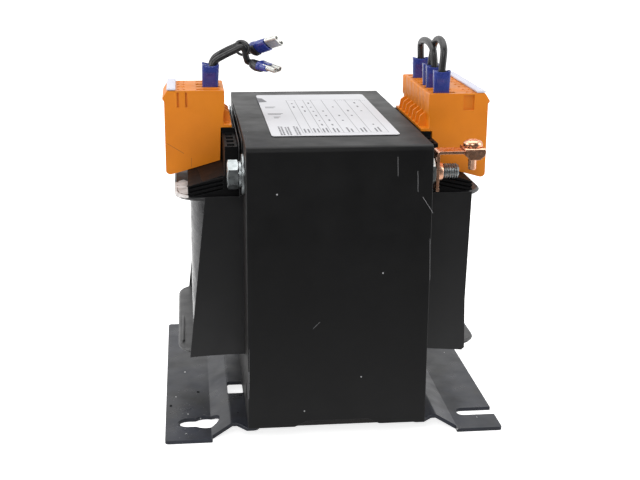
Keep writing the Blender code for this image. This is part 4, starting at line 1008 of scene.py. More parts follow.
@dataclass
class Studio:
    """The camera at the photograph's angle, the floor, the lamps and the pale backdrop."""

    place: Point = (-0.07314, -0.63229, 0.26519)
    yaw: float = 0.11609
    pitch: float = 0.27911
    roll: float = 0.00782
    lens: float = 64.87
    sensor: float = 36.0
    nearest: float = 0.01
    boxes: tuple[Lamp, ...] = (
        Lamp("top_box", (0.0, 0.15, 1.1), (0.0, 0.0, 0.1), (1.3, 1.1), 6.4),
        Lamp("left_box", (-1.1, -0.1, 0.55), (0.0, 0.0, 0.1), (0.8, 0.9), 6.0),
        Lamp("right_box", (1.1, -0.25, 0.5), (0.0, 0.0, 0.1), (0.7, 0.9), 5.0),
        Lamp("front_box", (-0.35, -1.3, 0.9), (0.0, 0.0, 0.12), (0.6, 0.6), 6.0),
    )
    floor_half: float = 3.0
    floor_level: float = -0.0002
    floor_roughness: float = 0.9
    floor_white: float = 0.88
    floor_fade: Plane = (-0.45, 0.15)
    world_fade: Plane = (-0.35, 0.3)
    front_dim: float = 0.08
    floor_glow: float = 0.8
    mirror_glow: float = 0.38
    room_light: float = 0.5

    def build(self) -> None:
        """Make the camera, then the floor, lamps and world."""
        self.camera()
        self.floor()
        for lamp in self.boxes:
            lamp.hang()
        self.world()

    def camera(self) -> None:
        """Place the camera that the photograph's own solution gave."""
        level = math.cos(self.pitch)
        forward = Vector((math.sin(self.yaw) * level, math.cos(self.yaw) * level, -math.sin(self.pitch)))
        right = Vector((math.cos(self.yaw), -math.sin(self.yaw), 0.0))
        up = right.cross(forward)
        across = right * math.cos(self.roll) + up * math.sin(self.roll)
        above = -right * math.sin(self.roll) + up * math.cos(self.roll)
        data = bpy.data.cameras.new("camera")
        data.lens = self.lens
        data.sensor_width = self.sensor
        data.clip_start = self.nearest
        turn = Matrix((across, above, -forward)).transposed().to_4x4()
        thing = add_object("camera", data)
        thing.matrix_world = Matrix.Translation(self.place) @ turn
        bpy.context.scene.camera = thing

    def floor(self) -> None:
        """Lay a white floor that keeps the object's shadow, and that is dim in reflections in front."""
        span = (-self.floor_half, self.floor_half)
        mesh = level_patch(span, span, self.floor_level)
        data = bpy.data.meshes.new("floor")
        mesh.to_mesh(data)
        mesh.free()
        material = bpy.data.materials.new("floor")
        material.use_nodes = True
        graph = Graph(material.node_tree)
        camera, mirror = self.rays(graph)
        far = self.fade(graph, graph.add("ShaderNodeTexCoord").outputs["Object"], self.floor_fade)
        dim = graph.math("SUBTRACT", 1.0, graph.product(mirror, graph.math("SUBTRACT", 1.0, far)))
        seen = graph.product(camera, self.floor_glow)
        mirrored = graph.product(mirror, far, self.mirror_glow)
        graph.feed(
            material.node_tree.nodes["Principled BSDF"],
            {
                "Roughness": self.floor_roughness,
                "Specular IOR Level": 0.0,
                "Base Color": graph.product(dim, self.floor_white),
                "Emission Color": rgba(WHITE),
                "Emission Strength": graph.math("ADD", seen, mirrored),
            },
        )
        data.materials.append(material)
        add_object("floor", data)

    def rays(self, graph: Graph) -> tuple[Socket, Socket]:
        """Return the sockets that tell a ray from the camera and a ray off or through a shiny surface."""
        ray = graph.add("ShaderNodeLightPath").outputs
        return ray["Is Camera Ray"], graph.math("MAXIMUM", ray["Is Glossy Ray"], ray["Is Transmission Ray"])

    def fade(self, graph: Graph, place: Socket, span: Plane) -> Socket:
        """Return a level that grows from the dim front to the bright back.

        Args:
            graph: The tree to add to.
            place: The place or direction whose Y it follows.
            span: The Y at which it starts and ends.

        Returns:
            The level's socket.
        """
        y = graph.add("ShaderNodeSeparateXYZ", {0: place}).outputs["Y"]
        return graph.remap(y, span, (self.front_dim, 1.0), interpolation_type="SMOOTHSTEP")

    def world(self) -> None:
        """Fill the room with plain light, and show white where a ray meets the backdrop."""
        world = bpy.data.worlds.new("studio")
        bpy.context.scene.world = world
        world.use_nodes = True
        graph = Graph(world.node_tree)
        camera, mirror = self.rays(graph)
        way = graph.add("ShaderNodeTexCoord").outputs["Generated"]
        mirrored = graph.product(mirror, self.fade(graph, way, self.world_fade))
        plain = graph.product(graph.math("SUBTRACT", 1.0, mirror), self.room_light)
        strength = graph.math("MAXIMUM", graph.math("ADD", mirrored, plain), camera)
        graph.feed(world.node_tree.nodes["Background"], {"Color": rgba(WHITE), "Strength": strength})


@dataclass
class LaminatedCore:
    """The E and I sheets of the core, each pack a row of thin varnished sheets.

    A sheet's own half thickness is half_fill of the room that it takes in the stack.
    """

    unit: float = 0.029
    stack: float = 0.092
    sheet: float = 0.0005
    half_fill: float = 0.46
    shuffle: float = 0.00003
    hole: float = 0.0043
    hole_sides: int = 16
    bottom: float = 0.0080
    gap: float = 0.0003
    bolt_y: float = 0.0725

    def build(self) -> None:
        """Stack both packs."""
        top = self.bottom + 5 * self.unit
        legs_top = top - self.unit - self.gap
        u = self.unit
        window = self.bottom + u
        e_sheet = (
            (-3 * u, self.bottom), (3 * u, self.bottom), (3 * u, legs_top), (2 * u, legs_top),
            (2 * u, window), (u, window), (u, legs_top), (-u, legs_top),
            (-u, window), (-2 * u, window), (-2 * u, legs_top), (-3 * u, legs_top),
        )
        i_sheet = ((-3 * u, top - u), (3 * u, top - u), (3 * u, top), (-3 * u, top))
        self.pack("core_e_stack", e_sheet, self.bottom + u / 2)
        self.pack("core_i_stack", i_sheet, top - u / 2)

    def pack(self, node: str, outline: Sequence[Plane], hole_z: float) -> None:
        """Repeat one punched sheet through the stack.

        Args:
            node: The CAD node that the pack stands for.
            outline: The sheet's outline across X.
            hole_z: The height of its two corner holes.
        """
        mesh = bmesh.new()
        half = self.sheet * self.half_fill
        rims = [list(outline)]
        for y in (-self.bolt_y, self.bolt_y):
            rims.append([(y + self.hole * c, hole_z + self.hole * s) for c, s in turns(self.hole_sides)])
        edges = []
        for rim in rims:
            ring = add_loop(mesh, ((-half, y, z) for y, z in rim))
            edges += [mesh.edges.new((a, b)) for a, b in zip(ring, ring[1:] + ring[:1])]
        filled = bmesh.ops.triangle_fill(mesh, edges=edges, use_beauty=True)["geom"]
        flat = [part for part in filled if isinstance(part, bmesh.types.BMFace)]
        pushed = bmesh.ops.extrude_face_region(mesh, geom=flat)["geom"]
        moved = [part for part in pushed if isinstance(part, bmesh.types.BMVert)]
        bmesh.ops.translate(mesh, verts=moved, vec=(2 * half, 0.0, 0.0))
        thing = piece(f"{node}_sheets", mesh, CORE_STEEL)
        count = round(self.stack / self.sheet)
        pitch = self.stack / count
        run_tree(
            thing,
            stack_tree(),
            {
                "Count": count,
                "Pitch": pitch,
                "Start": -self.stack / 2 + pitch / 2,
                "Shuffle": self.shuffle,
                "Finish": CORE_STEEL.material(),
            },
        )
        settle(thing, CORE_STEEL, node)


@dataclass
class FrameSheets:
    """The foot plate and the clamping band: folded, painted sheets with rolled edges."""

    plate_edge: float = 0.00025
    band_edge: float = 0.0004
    foot_top: float = 0.0020
    plate_specks: Specks = Specks("plate_specks", (-0.086, -0.067), (-0.084, -0.02), 42000.0, 0.00035, 3)
    band_specks: Specks = Specks("band_specks", (0.0004, 0.0030), (-0.087, 0.02), 60000.0, 0.0003, 5)
    seed: int = 11
    pale_spots: tuple[Spot, ...] = (
        (-0.0784, 0.0057, 0.0012, 0.002), (-0.0769, -0.0537, 0.0009, 0.0014),
        (-0.0780, -0.0779, 0.0012, 0.001), (0.0783, -0.0727, 0.0008, 0.001),
        (0.0641, -0.0864, 0.0013, 0.001), (-0.0835, -0.0302, 0.0007, 0.0011),
        (-0.0702, -0.0605, 0.0006, 0.0009), (0.0812, 0.0221, 0.0008, 0.0008),
    )
    dark_spots: tuple[Spot, ...] = (
        (-0.0711, -0.0245, 0.0022, 0.003), (-0.0862, -0.0421, 0.0016, 0.0034),
        (-0.0815, -0.0672, 0.0014, 0.002),
    )
    # The two lines at X -0.0457 and -0.0455 are painted highlights down the band's cut left edge; the others
    # are scratches.
    face_scratches_and_highlights: tuple[Line, ...] = (
        ((0.0281, 0.1496), (0.0284, 0.1401), 0.00012), ((0.0382, 0.1425), (0.0386, 0.1319), 0.00012),
        ((0.0411, 0.1293), (0.0465, 0.1210), 0.00014), ((0.0454, 0.1077), (0.0461, 0.0861), 0.0001),
        ((-0.0457, 0.0250), (-0.0455, 0.0400), 0.00012), ((-0.0455, 0.0300), (-0.0453, 0.0520), 0.00007),
        ((-0.0130, 0.0620), (-0.0095, 0.0655), 0.0001),
    )
    face_flakes: tuple[Plane, ...] = (
        (0.0221, 0.0905), (-0.0310, 0.1320), (0.0120, 0.0350), (-0.0172, 0.0172),
    )
    flake_size: Plane = (0.0009, 0.0011)

    def build(self) -> None:
        """Soften both sheets, add the specks, chips and scratches in their paint, and paint highlight lines
        down the band's left edge.
        """
        softened("base_plate", PLATE_PAINT, self.plate_edge)
        softened("clamping_band", BAND_PAINT, self.band_edge, steps=3)
        low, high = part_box("clamping_band")
        self.plate_specks.scatter(self.foot_top)
        self.band_specks.scatter(high[2], low[0])
        chance = random.Random(self.seed)
        foot = level_face(self.foot_top)
        foot.mark("pale_chips", CHIP, [flake(spot[:2], spot[2:], chance) for spot in self.pale_spots])
        foot.mark("dark_chips", SCUFF, [flake(spot[:2], spot[2:], chance) for spot in self.dark_spots])
        shapes = [strip(*scratch) for scratch in self.face_scratches_and_highlights]
        shapes += [flake(place, self.flake_size, chance) for place in self.face_flakes]
        front_face(low[1] + MARK_HEIGHT / 2).mark("band_scratches_and_highlights", DUST_AND_HIGHLIGHT, shapes)


@dataclass
class Coil:
    """The coil: windings hidden in a glossy film wrap whose surface is creased."""

    corner: float = 0.0148
    wall: float = 0.0005
    columns: int = 320
    rows: int = 110
    across_cells: float = 60.0
    upward_cells: float = 34.0
    slant: Plane = (0.9, -0.7)
    fold_scale: float = 1.9
    fold_depth: float = 0.0003
    crumple_scale: float = 5.0
    crumple_depth: float = 0.00013
    crumple_shift: Point = (3.0, 1.0, 7.0)

    def build(self) -> None:
        """Dress the windings and crease the wrap."""
        dress("primary_winding", COPPER_WIRE)
        dress("secondary_winding", COPPER_WIRE)
        dress("interlayer_insulation", PAPER)
        low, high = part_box("outer_wrap")
        half = (high[0], high[1])
        levels = [(low[2] + (high[2] - low[2]) * row / self.rows, 0.0) for row in range(self.rows + 1)]
        levels += [(high[2], -self.wall), (low[2], -self.wall)]
        mesh = bmesh.new()
        loops = [add_loop(mesh, self.ring(half, *level)) for level in levels]
        join_loops(mesh, loops, closed=True)
        settle(piece("film_wrap", mesh, FILM, smooth=60.0), FILM, "outer_wrap")

    def ring(self, half: Plane, z: float, inset: float) -> list[Vector]:
        """Return one level of the wrap.

        Args:
            half: Half the wrap's width and depth.
            z: The level.
            inset: How far it lies from the outer face, negative inwards.

        Returns:
            Its points.
        """
        points = []
        half_x, half_y = half
        sides = (2 * (half_y - self.corner), 2 * (half_x - self.corner))
        quarter = math.pi / 2 * self.corner
        total = 2 * sum(sides) + 4 * quarter
        for column in range(self.columns):
            run = total * column / self.columns
            corner = 0
            while run >= sides[corner % 2] + quarter:
                run -= sides[corner % 2] + quarter
                corner += 1
            angle = math.pi / 2 * corner
            turn = angle + max(0.0, run - sides[corner % 2]) / self.corner
            out = Vector((math.cos(turn), math.sin(turn), 0.0))
            ahead = Vector((-math.sin(angle), math.cos(angle), 0.0))
            flat = Vector((math.cos(angle), math.sin(angle), 0.0))
            span = half_x if corner % 2 == 0 else half_y
            local = min(run, sides[corner % 2]) - sides[corner % 2] / 2
            hub = flat * (span - self.corner) + ahead * local
            point = hub + out * self.corner + Vector((0.0, 0.0, z))
            points.append(point + out * (inset - self.crease(point)))
        return points

    def crease(self, point: Vector) -> float:
        """Return how far the film sinks at a point.

        Args:
            point: A point of its plain surface.

        Returns:
            The depth, never negative and always less than the wall.
        """
        raised = point.z + self.slant[0] * point.x + self.slant[1] * point.y
        cells = Vector((point.x * self.across_cells, point.y * self.across_cells, raised * self.upward_cells))
        fold = 1.0 - abs(noise.noise(cells * self.fold_scale))
        crumple = 1.0 - abs(noise.noise(cells * self.crumple_scale + Vector(self.crumple_shift)))
        return self.fold_depth * (1.0 - fold**4) + self.crumple_depth * (1.0 - crumple**3)


@dataclass
class Spool:
    """The bobbin, the thin sheets beside it and the torn paper on its upper flange."""

    bobbin_edge: float = 0.0002
    liner_edge: float = 0.00008
    sheet_edge: float = 0.00006
    paper: tuple[Plane, ...] = (
        (-0.0800, -0.0230), (-0.0762, -0.0165), (-0.0725, -0.0240), (-0.0745, -0.0320), (-0.0718, -0.0405),
        (-0.0712, -0.0495), (-0.0755, -0.0518), (-0.0784, -0.0480), (-0.0799, -0.0410),
    )
    paper_seed: int = 2
    tear: float = 0.0011
    rim_run: Plane = (-0.0230, -0.0550)
    rim_steps: int = 24
    rim_seed: int = 9
    drops: Plane = (0.0001, 0.0017)
    corner: Plane = (-0.0665, -0.0425)
    radius: float = 0.0145
    edge: float = 0.0009
    rolled: float = 0.29
    tuck: float = 0.0006
    level: float = 0.1237
    thickness: float = 0.00006

    def build(self) -> None:
        """Soften the spool and its sheets and lay the torn paper."""
        softened("bobbin", SPOOL_PLASTIC, self.bobbin_edge)
        paper = ragged(self.paper, self.tear, random.Random(self.paper_seed))
        level_face(self.level).mark("flange_paper", TORN, [paper], self.thickness)
        self.rim_paper()
        for node in ("front_window_liner", "rear_window_liner"):
            softened(node, CARD, self.liner_edge, steps=1)
        for node in ("left_inner_edge_sheet", "left_outer_edge_sheet", "right_edge_sheet"):
            softened(node, CARD, self.sheet_edge, steps=1)

    def rim_paper(self) -> None:
        """Fold the torn paper down over the flange's rounded rim."""
        mesh = bmesh.new()
        chance = random.Random(self.rim_seed)
        first, last = self.rim_run
        hub_x, hub_y = self.corner
        edge = self.edge
        loops = []
        for step in range(self.rim_steps + 1):
            y = first + (last - first) * step / self.rim_steps
            turn = math.asin(max(-1.0, min(0.0, (y - hub_y) / self.radius)))
            out = Vector((-math.cos(turn), math.sin(turn), 0.0))
            rim = Vector((hub_x, max(y, hub_y), 0.0)) + out * self.radius
            bulge = math.sin(math.pi * (step + 1) / (self.rim_steps + 2)) ** 0.5
            drop = chance.uniform(*self.drops) * bulge
            line = (
                (-edge - self.tuck, 0.0), (-edge, 0.0), (-edge * self.rolled, -edge * self.rolled),
                (0.0, -edge), (0.0, -edge - drop),
            )
            skin = [rim + out * u + Vector((0.0, 0.0, self.level + v)) for u, v in line]
            lift = out * self.thickness + Vector((0.0, 0.0, self.thickness))
            loops.append(add_loop(mesh, [*skin, *(point + lift for point in reversed(skin))]))
        join_loops(mesh, loops)
        settle(piece("rim_paper", mesh, TORN), TORN)


LEFT_BLOCK_SCRATCHES: tuple[Line, ...] = (
    ((-0.0845, 0.1441), (-0.0756, 0.1385), 0.0003), ((-0.0717, 0.1360), (-0.0718, 0.1310), 0.00025),
)


@dataclass
class TerminalRow:
    """One terminal block on its carrier, with its writing strip and contact tabs."""

    side: Side
    poles: int
    scratches: tuple[Line, ...] = ()
    block_edge: float = 0.0001
    block_turn: float = 50.0
    carrier_edge: float = 0.00015
    strip_edge: float = 0.0001

    def build(self) -> None:
        """Soften the mouldings, dress the small pieces and scratch the front end."""
        label = self.side.value
        block = f"{label}_terminal_block"
        softened(block, ORANGE, self.block_edge, angle=self.block_turn)
        softened(f"{label}_terminal_carrier", CARRIER_PLASTIC, self.carrier_edge)
        softened(f"{label}_marker_strip", STRIP, self.strip_edge)
        for pole in range(self.poles):
            dress(f"{label}_contact_{pole + 1}", TINNED)
        if self.scratches:
            shapes = [strip(*line) for line in self.scratches]
            front_face(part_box(block)[0][1]).mark(f"{label}_block_scratches", SCRATCH, shapes)


def pole_y(pole: int, poles: int) -> float:
    """Return the Y of a pole in a row of so many."""
    return (pole - (poles - 1) / 2) * POLE_PITCH


@dataclass
class SlotSleeve:
    """A flat blue vinyl sleeve that stands in a contact slot, flared and open round its wire."""

    node: str
    lean: float = 0.0
    foot: Plane = (0.0086, 0.0033)
    mouth: Plane = (0.0094, 0.0054)
    mouth_height: float = 0.0036
    collar: float = 0.0098
    wall: float = 0.0006
    dip: float = 0.0009
    well: float = 0.0030
    squareness: float = 3.6
    sides: int = 40
    broadness: float = 2.2

    def build(self) -> bpy.types.Object:
        """Loft the outside, roll the rim, which dips on its broad sides, and line the well."""
        (left, front, bottom), (right, back, top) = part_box(self.node)
        y = (front + back) / 2
        start = left + self.foot[0] / 2 if self.lean else (left + right) / 2
        mouth = top - self.mouth_height
        collar = top - self.collar
        foot, wide = self.foot, self.mouth
        waist = (wide[0], wide[1] * 0.86)
        stations = (
            (bottom, foot, -0.0002), (bottom + 0.0006, foot, 0.0), (collar, foot, 0.0),
            (collar + 0.002, foot, 0.00012), (mouth - 0.0012, waist, -0.0002), (mouth, wide, -0.0001),
            (mouth + 0.0009, wide, -0.00018), (top - 0.0008, wide, -0.00002), (top - 0.0003, wide, 0.0),
        )
        mesh = bmesh.new()
        loops = []
        for z, size, wider in stations:
            x = start + self.lean * (z - bottom) / (top - bottom)
            share = max(0.0, (z - collar) / (top - collar))
            loops.append(self.ring(mesh, (x, y, z), size, 2 * wider, share))
        inner = (wide[0] - 2 * self.wall, wide[1] - 2 * self.wall)
        rim = (
            (top, wide, -self.wall * 0.7, 1.0), (top - 0.0002, inner, 0.0, 1.0),
            (top - self.well + 0.0006, inner, -0.0002, 0.3), (top - self.well, inner, -0.0012, 0.0),
        )
        for z, size, wider, share in rim:
            loops.append(self.ring(mesh, (start + self.lean, y, z), size, wider, share))
        join_loops(mesh, loops)
        return settle(piece(f"{self.node}_vinyl", mesh, VINYL, smooth=50.0), VINYL, self.node)

    def ring(self, mesh: bmesh.types.BMesh, centre: Point, size: Plane, wider: float, share: float) -> Loop:
        """Add one level of the sleeve.

        Args:
            mesh: The mesh to add to.
            centre: The level's middle.
            size: Its width and depth.
            wider: How much it is wider than that.
            share: How much of the rim's dip it follows.

        Returns:
            The level's points.
        """
        points = []
        for u, v in oval(size[0] + wider, size[1] + wider, self.squareness, self.sides):
            broad = max(0.0, 1.0 - (self.broadness * u / size[0]) ** 2)
            points.append((centre[0] + u, centre[1] + v, centre[2] - self.dip * share * broad))
        return add_loop(mesh, points)


@dataclass
class Jumpers:
    """Two black wires that link contacts of the right row, in four blue sleeves."""

    poles: int = 8
    diameter: float = 0.0038
    middle: float = 0.0609
    foot: float = 0.1814
    sleeve_top: float = 0.1841
    fullness: float = 0.5
    arch_steps: int = 8
    rows: tuple[tuple[int, int], ...] = ((0, 3), (2, 6))
    rises: tuple[float, ...] = (0.0146, 0.0113)
    leans: tuple[float, ...] = (0.0014, -0.0008)

    def build(self) -> None:
        """Bend both wires and stand their sleeves."""
        for letter, rows, rise, lean in zip("ab", self.rows, self.rises, self.leans):
            wire = Wire(f"jumper_{letter}_insulation", self.path(rows, rise, lean), self.diameter).build()
            settle(wire, RUBBER, f"jumper_{letter}_wire")
            for end in ("front", "rear"):
                SlotSleeve(f"jumper_{letter}_{end}_sleeve").build()

    def path(self, rows: tuple[int, int], rise: float, lean: float) -> list[Vector]:
        """Return a jumper's middle line.

        Args:
            rows: The poles that it links.
            rise: Its height above the sleeves.
            lean: How far its top leans along X.

        Returns:
            The points of the line.
        """
        start, end = (pole_y(row, self.poles) for row in rows)
        top = self.sleeve_top
        points = [(self.middle, start, self.foot), (self.middle, start, top)]
        for step in range(1, self.arch_steps):
            angle = math.pi * step / self.arch_steps
            height = math.sin(angle) ** self.fullness
            share = (1 - math.cos(angle)) / 2
            points.append((self.middle + lean * height, start + (end - start) * share, top + rise * height))
        points += [(self.middle, end, top), (self.middle, end, self.foot)]
        return smooth_path(points, WIRE_SPACING)


@dataclass(frozen=True)
class Lead:
    """One lead of the left row: the way of its middle line and how its free connector lies.

    The cuff's share and the body's reach are shares of the connector's length.
    """

    label: str
    pole: int
    way: tuple[Point, ...]
    start: Point
    aim: Point
    across: Point
    length: float
    cuff_share: float
    body_reach: Plane


LOWER_LEAD = Lead(
    "lower",
    1,
    (
        (-0.0588, -0.0045, 0.1848), (-0.0566, -0.0039, 0.1868), (-0.0539, -0.0037, 0.1883),
        (-0.0504, -0.0037, 0.1901), (-0.0469, -0.0038, 0.1917), (-0.0444, -0.0039, 0.1931),
        (-0.0427, -0.0039, 0.1931), (-0.0415, -0.0039, 0.1913), (-0.0412, -0.0039, 0.1889),
        (-0.0405, -0.0039, 0.1866),
    ),
    start=(-0.0382, -0.0044, 0.1850),
    aim=(0.72, -0.66, -0.20),
    across=(0.60, 0.75, 0.10),
    length=0.0098,
    cuff_share=0.85,
    body_reach=(0.62, 1.3),
)
UPPER_LEAD = Lead(
    "upper",
    2,
    (
        (-0.0590, 0.0046, 0.1850), (-0.0574, 0.0028, 0.1875), (-0.0544, 0.0006, 0.1897),
        (-0.0506, 0.0002, 0.1917), (-0.0471, 0.0002, 0.1932), (-0.0445, 0.0003, 0.1942),
        (-0.0419, 0.0008, 0.1934),
    ),
    start=(-0.0377, 0.0012, 0.1912),
    aim=(0.639, -0.718, 0.275),
    across=(0.669, 0.343, -0.659),
    length=0.0125,
    cuff_share=0.4,
    body_reach=(0.1, 1.0),
)


@dataclass
class LeadPair:
    """Two black leads held by a tie ring, each from a slot sleeve to a sleeved receptacle."""

    poles: int = 4
    diameter: float = 0.0035
    foot: Plane = (-0.0596, 0.1817)
    lean: float = 0.0007
    straight: float = 0.0022
    gap: float = 0.0003
    ring_centre: Point = (-0.0430, -0.0018, 0.1927)
    ring_half: Point = (0.0036, 0.0046, 0.0037)
    ring_thick: float = 0.0015
    ring_steps: int = 40
    ring_sides: int = 10

    def build(self) -> None:
        ring = self.tie_ring()
        for lead in (UPPER_LEAD, LOWER_LEAD):
            SlotSleeve(f"{lead.label}_lead_sleeve", self.lean).build()
            path = self.path(lead)
            wire = Wire(f"{lead.label}_lead_insulation", path, self.diameter).build()
            settle(wire, RUBBER, f"{lead.label}_lead")
            pieces = FreeConnector(lead).build()
            if lead is UPPER_LEAD:
                pieces.append(ring)

    def tie_ring(self) -> bpy.types.Object:
        """Return the black ring that holds both leads together."""
        hub = Vector(self.ring_centre)
        out, back, up = self.ring_half
        path = [hub + Vector((out * c, -back * c, up * s)) for c, s in turns(self.ring_steps)]
        wire = Wire("lead_tie_ring", path, self.ring_thick, self.ring_sides, closed=True).build()
        return settle(wire, RUBBER)

    def path(self, lead: Lead) -> list[Vector]:
        """Return a lead's middle line.

        Args:
            lead: The lead.

        Returns:
            The points of the line.
        """
        x, low = self.foot
        y = pole_y(lead.pole, self.poles)
        forward = Vector(lead.aim).normalized()
        end = Vector(lead.start) - forward * 2 * self.gap
        points = [(x, y, low), (x, y, low + self.diameter / 3), *lead.way]
        points += [end - forward * self.straight, end]
        return smooth_path(points, WIRE_SPACING)


@dataclass
class FreeConnector:
    """A push-on receptacle in its blue sleeve, with a dark cuff, on the end of a lead."""

    lead: Lead
    cuff: Plane = (0.0076, 0.0050)
    body: Plane = (0.0080, 0.0052)
    body_end: Plane = (0.0080, 0.0040)
    rise: Plane = (0.0005, 0.0009)
    cuff_drop: float = 0.0005
    sides: int = 32
    metal: Point = (0.0074, 0.0028, 0.0082)
    sheet: float = 0.0005
    gap: float = 0.0003
    roll_span: Plane = (-110.0, 190.0)
    roll_steps: int = 14
    forward: Vector = field(init=False)
    side: Vector = field(init=False)
    up: Vector = field(init=False)

    def __post_init__(self) -> None:
        """Work out the connector's own directions: along it, across it and up from its floor."""
        self.forward = Vector(self.lead.aim).normalized()
        across = Vector(self.lead.across)
        self.side = (across - self.forward * across.dot(self.forward)).normalized()
        self.up = self.forward.cross(self.side)

    def build(self) -> list[bpy.types.Object]:
        """Build the cuff, the sleeve and the receptacle and return all three."""
        return [self.cuff_piece(), self.sleeve(), self.receptacle()]

    def loft(self, name: str, finish: Finish, rings: Iterable[Ring]) -> bpy.types.Object:
        """Loft a piece along the connector.

        Args:
            name: The piece's name.
            finish: Its finish.
            rings: Its rings.

        Returns:
            The piece.
        """
        mesh = bmesh.new()
        loops = []
        for along, size, rise, power in rings:
            centre = Vector(self.lead.start) + self.forward * along + self.up * rise
            outline = oval(*size, power, self.sides)
            loops.append(add_loop(mesh, (centre + self.side * u + self.up * v for u, v in outline)))
        join_loops(mesh, loops)
        return settle(piece(name, mesh, finish, smooth=50.0), finish, f"{self.lead.label}_free_sleeve")

    def cuff_piece(self) -> bpy.types.Object:
        """Return the dark cuff, which narrows to the lead behind and runs into the sleeve in front."""
        length = self.lead.length * self.lead.cuff_share
        width, depth = self.cuff
        drop = -self.cuff_drop
        rings = (
            (0.0, (width * 0.55, depth * 0.84), 0.0, 2.2),
            (0.0006, (width * 0.7, depth * 0.95), drop * 0.3, 2.3),
            (length * 0.3, (width * 0.9, depth), drop * 0.7, 2.6),
            (length * 0.55, (width, depth), drop, 2.9),
            (length, (width * 0.96, depth * 0.94), drop * 0.6, 3.0),
        )
        return self.loft(f"{self.lead.label}_free_cuff", CUFF, rings)

    def sleeve(self) -> bpy.types.Object:
        """Return the blue sleeve, a rolled bead behind and an open mouth in front."""
        length = self.lead.length
        first, last = (length * share for share in self.lead.body_reach)
        low, high = self.rise

        def ring(share: float, scale: float, inset: float = 0.0) -> Ring:
            """Return the ring at a share of the sleeve, scaled and then narrowed by an inset."""
            ends = zip(self.body, self.body_end)
            size = tuple((start + (end - start) * share) * scale - 2 * inset for start, end in ends)
            return first + (last - first) * share, size, low + (high - low) * share, 3.0

        rings = (
            ring(0.03, 0.9), ring(0.0, 0.95), ring(0.03, 1.0), ring(0.16, 1.02), ring(0.3, 1.0),
            ring(0.36, 0.93), ring(0.42, 0.97), ring(0.5, 0.99), ring(0.8, 1.0), ring(0.97, 1.0),
            ring(1.0, 0.98), ring(1.0, 0.98, 0.0005), ring(0.82, 0.96, 0.0006),
        )
        return self.loft(f"{self.lead.label}_free_vinyl", VINYL, rings)

    def receptacle(self) -> bpy.types.Object:
        """Return the receptacle: a flat floor with both edges rolled over it."""
        width, height, reach = self.metal
        roll = height / 2 - self.sheet / 2
        hub = width / 2 - roll - self.sheet / 2
        least, most = self.roll_span
        half_line = []
        for step in range(self.roll_steps + 1):
            turn = math.radians(least) + math.radians(most - least) * (1 - step / self.roll_steps)
            half_line.append((hub + roll * math.cos(turn), height / 2 + roll * math.sin(turn)))
        half_line.append((0.0, self.sheet / 2))
        outline = thick_line(half_line + [(-u, v) for u, v in half_line[-2::-1]], self.sheet)
        mesh = bmesh.new()
        base = Vector(self.lead.start) + self.forward * (self.lead.length + self.gap)
        loops = []
        for share, scale in ((0.0, 1.0), (0.9, 1.0), (1.0, 0.95)):
            centre = base + self.forward * reach * share
            loops.append(add_loop(mesh, (centre + self.side * u * scale + self.up * v for u, v in outline)))
        join_loops(mesh, loops)
        name = f"{self.lead.label}_free_receptacle"
        return settle(piece(f"{name}_metal", mesh, TINNED), TINNED, name)


@dataclass
class Fasteners:
    """The two core bolts with their washers and nuts, threads cut where they show."""

    pitch: float = 0.00125
    depth: float = 0.00062
    radius: float = 0.0039
    sides: int = 40
    rings_a_turn: int = 12
    tip: float = 0.0007
    bolt_y: float = 0.0725
    bolt_z: float = 0.1385
    stud_ends: Plane = (0.0622, 0.0570)
    thread_from: float = 0.0478
    head_face: float = -0.0491
    head_depth: float = 0.0008
    head_margin: float = 0.0005
    edge: float = 0.00012

    def build(self) -> None:
        """Soften the heads, washers and nuts, and cut the threads."""
        for label, side, end in zip(("front", "rear"), (-1, 1), self.stud_ends):
            for node in ("core_nut", "head_washer", "nut_washer", "spring_washer"):
                softened(f"{label}_{node}", ZINC, self.edge)
            self.bolt(label, side * self.bolt_y, end)

    def bolt(self, label: str, y: float, end: float) -> None:
        """Build a bolt with a hexagon head and a threaded end.

        Args:
            label: Which bolt it is.
            y: Its place.
            end: Where its stud ends.
        """
        mesh = merged(f"{label}_core_bolt")
        shank_from = self.head_face + self.head_margin
        shank = [face for face in mesh.faces if face.calc_center_median().x > shank_from]
        bmesh.ops.delete(mesh, geom=shank, context="FACES")
        bmesh.ops.holes_fill(mesh, edges=[edge for edge in mesh.edges if edge.is_boundary], sides=0)
        stations = [(self.head_face - self.head_depth, self.radius), (self.thread_from, self.radius)]
        count = round((end - self.thread_from) / self.pitch * self.rings_a_turn)
        for step in range(1, count + 1):
            x = self.thread_from + (end - self.thread_from) * step / count
            stations.append((x, self.radius - max(0.0, x - end + self.tip)))
        loops = []
        for x, radius in stations:
            ring = ((x, y + radius * c, self.bolt_z + radius * s) for c, s in turns(self.sides))
            loops.append(add_loop(mesh, ring))
        join_loops(mesh, loops)
        thing = piece(f"{label}_bolt", mesh, ZINC, smooth=40.0)
        run_tree(
            thing,
            thread_tree(),
            {
                "Pitch": self.pitch,
                "Depth": self.depth,
                "From": self.thread_from,
                "Centre Y": y,
                "Centre Z": self.bolt_z,
                "Finish": ZINC.material(),
            },
        )
        settle(thing, ZINC, f"{label}_core_bolt")


@dataclass
class EarthPoint:
    """The copper bracket on the front bolt with its clamp screw and saddle."""

    edges: tuple[tuple[str, float], ...] = (
        ("earth_bracket", 0.00018), ("earth_clamp_washer", 0.00015), ("earth_clamp_screw", 0.00012),
    )
    turn: float = 40.0

    def build(self) -> None:
        """Soften the three copper pieces."""
        for node, width in self.edges:
            softened(node, COPPER, width, angle=self.turn)


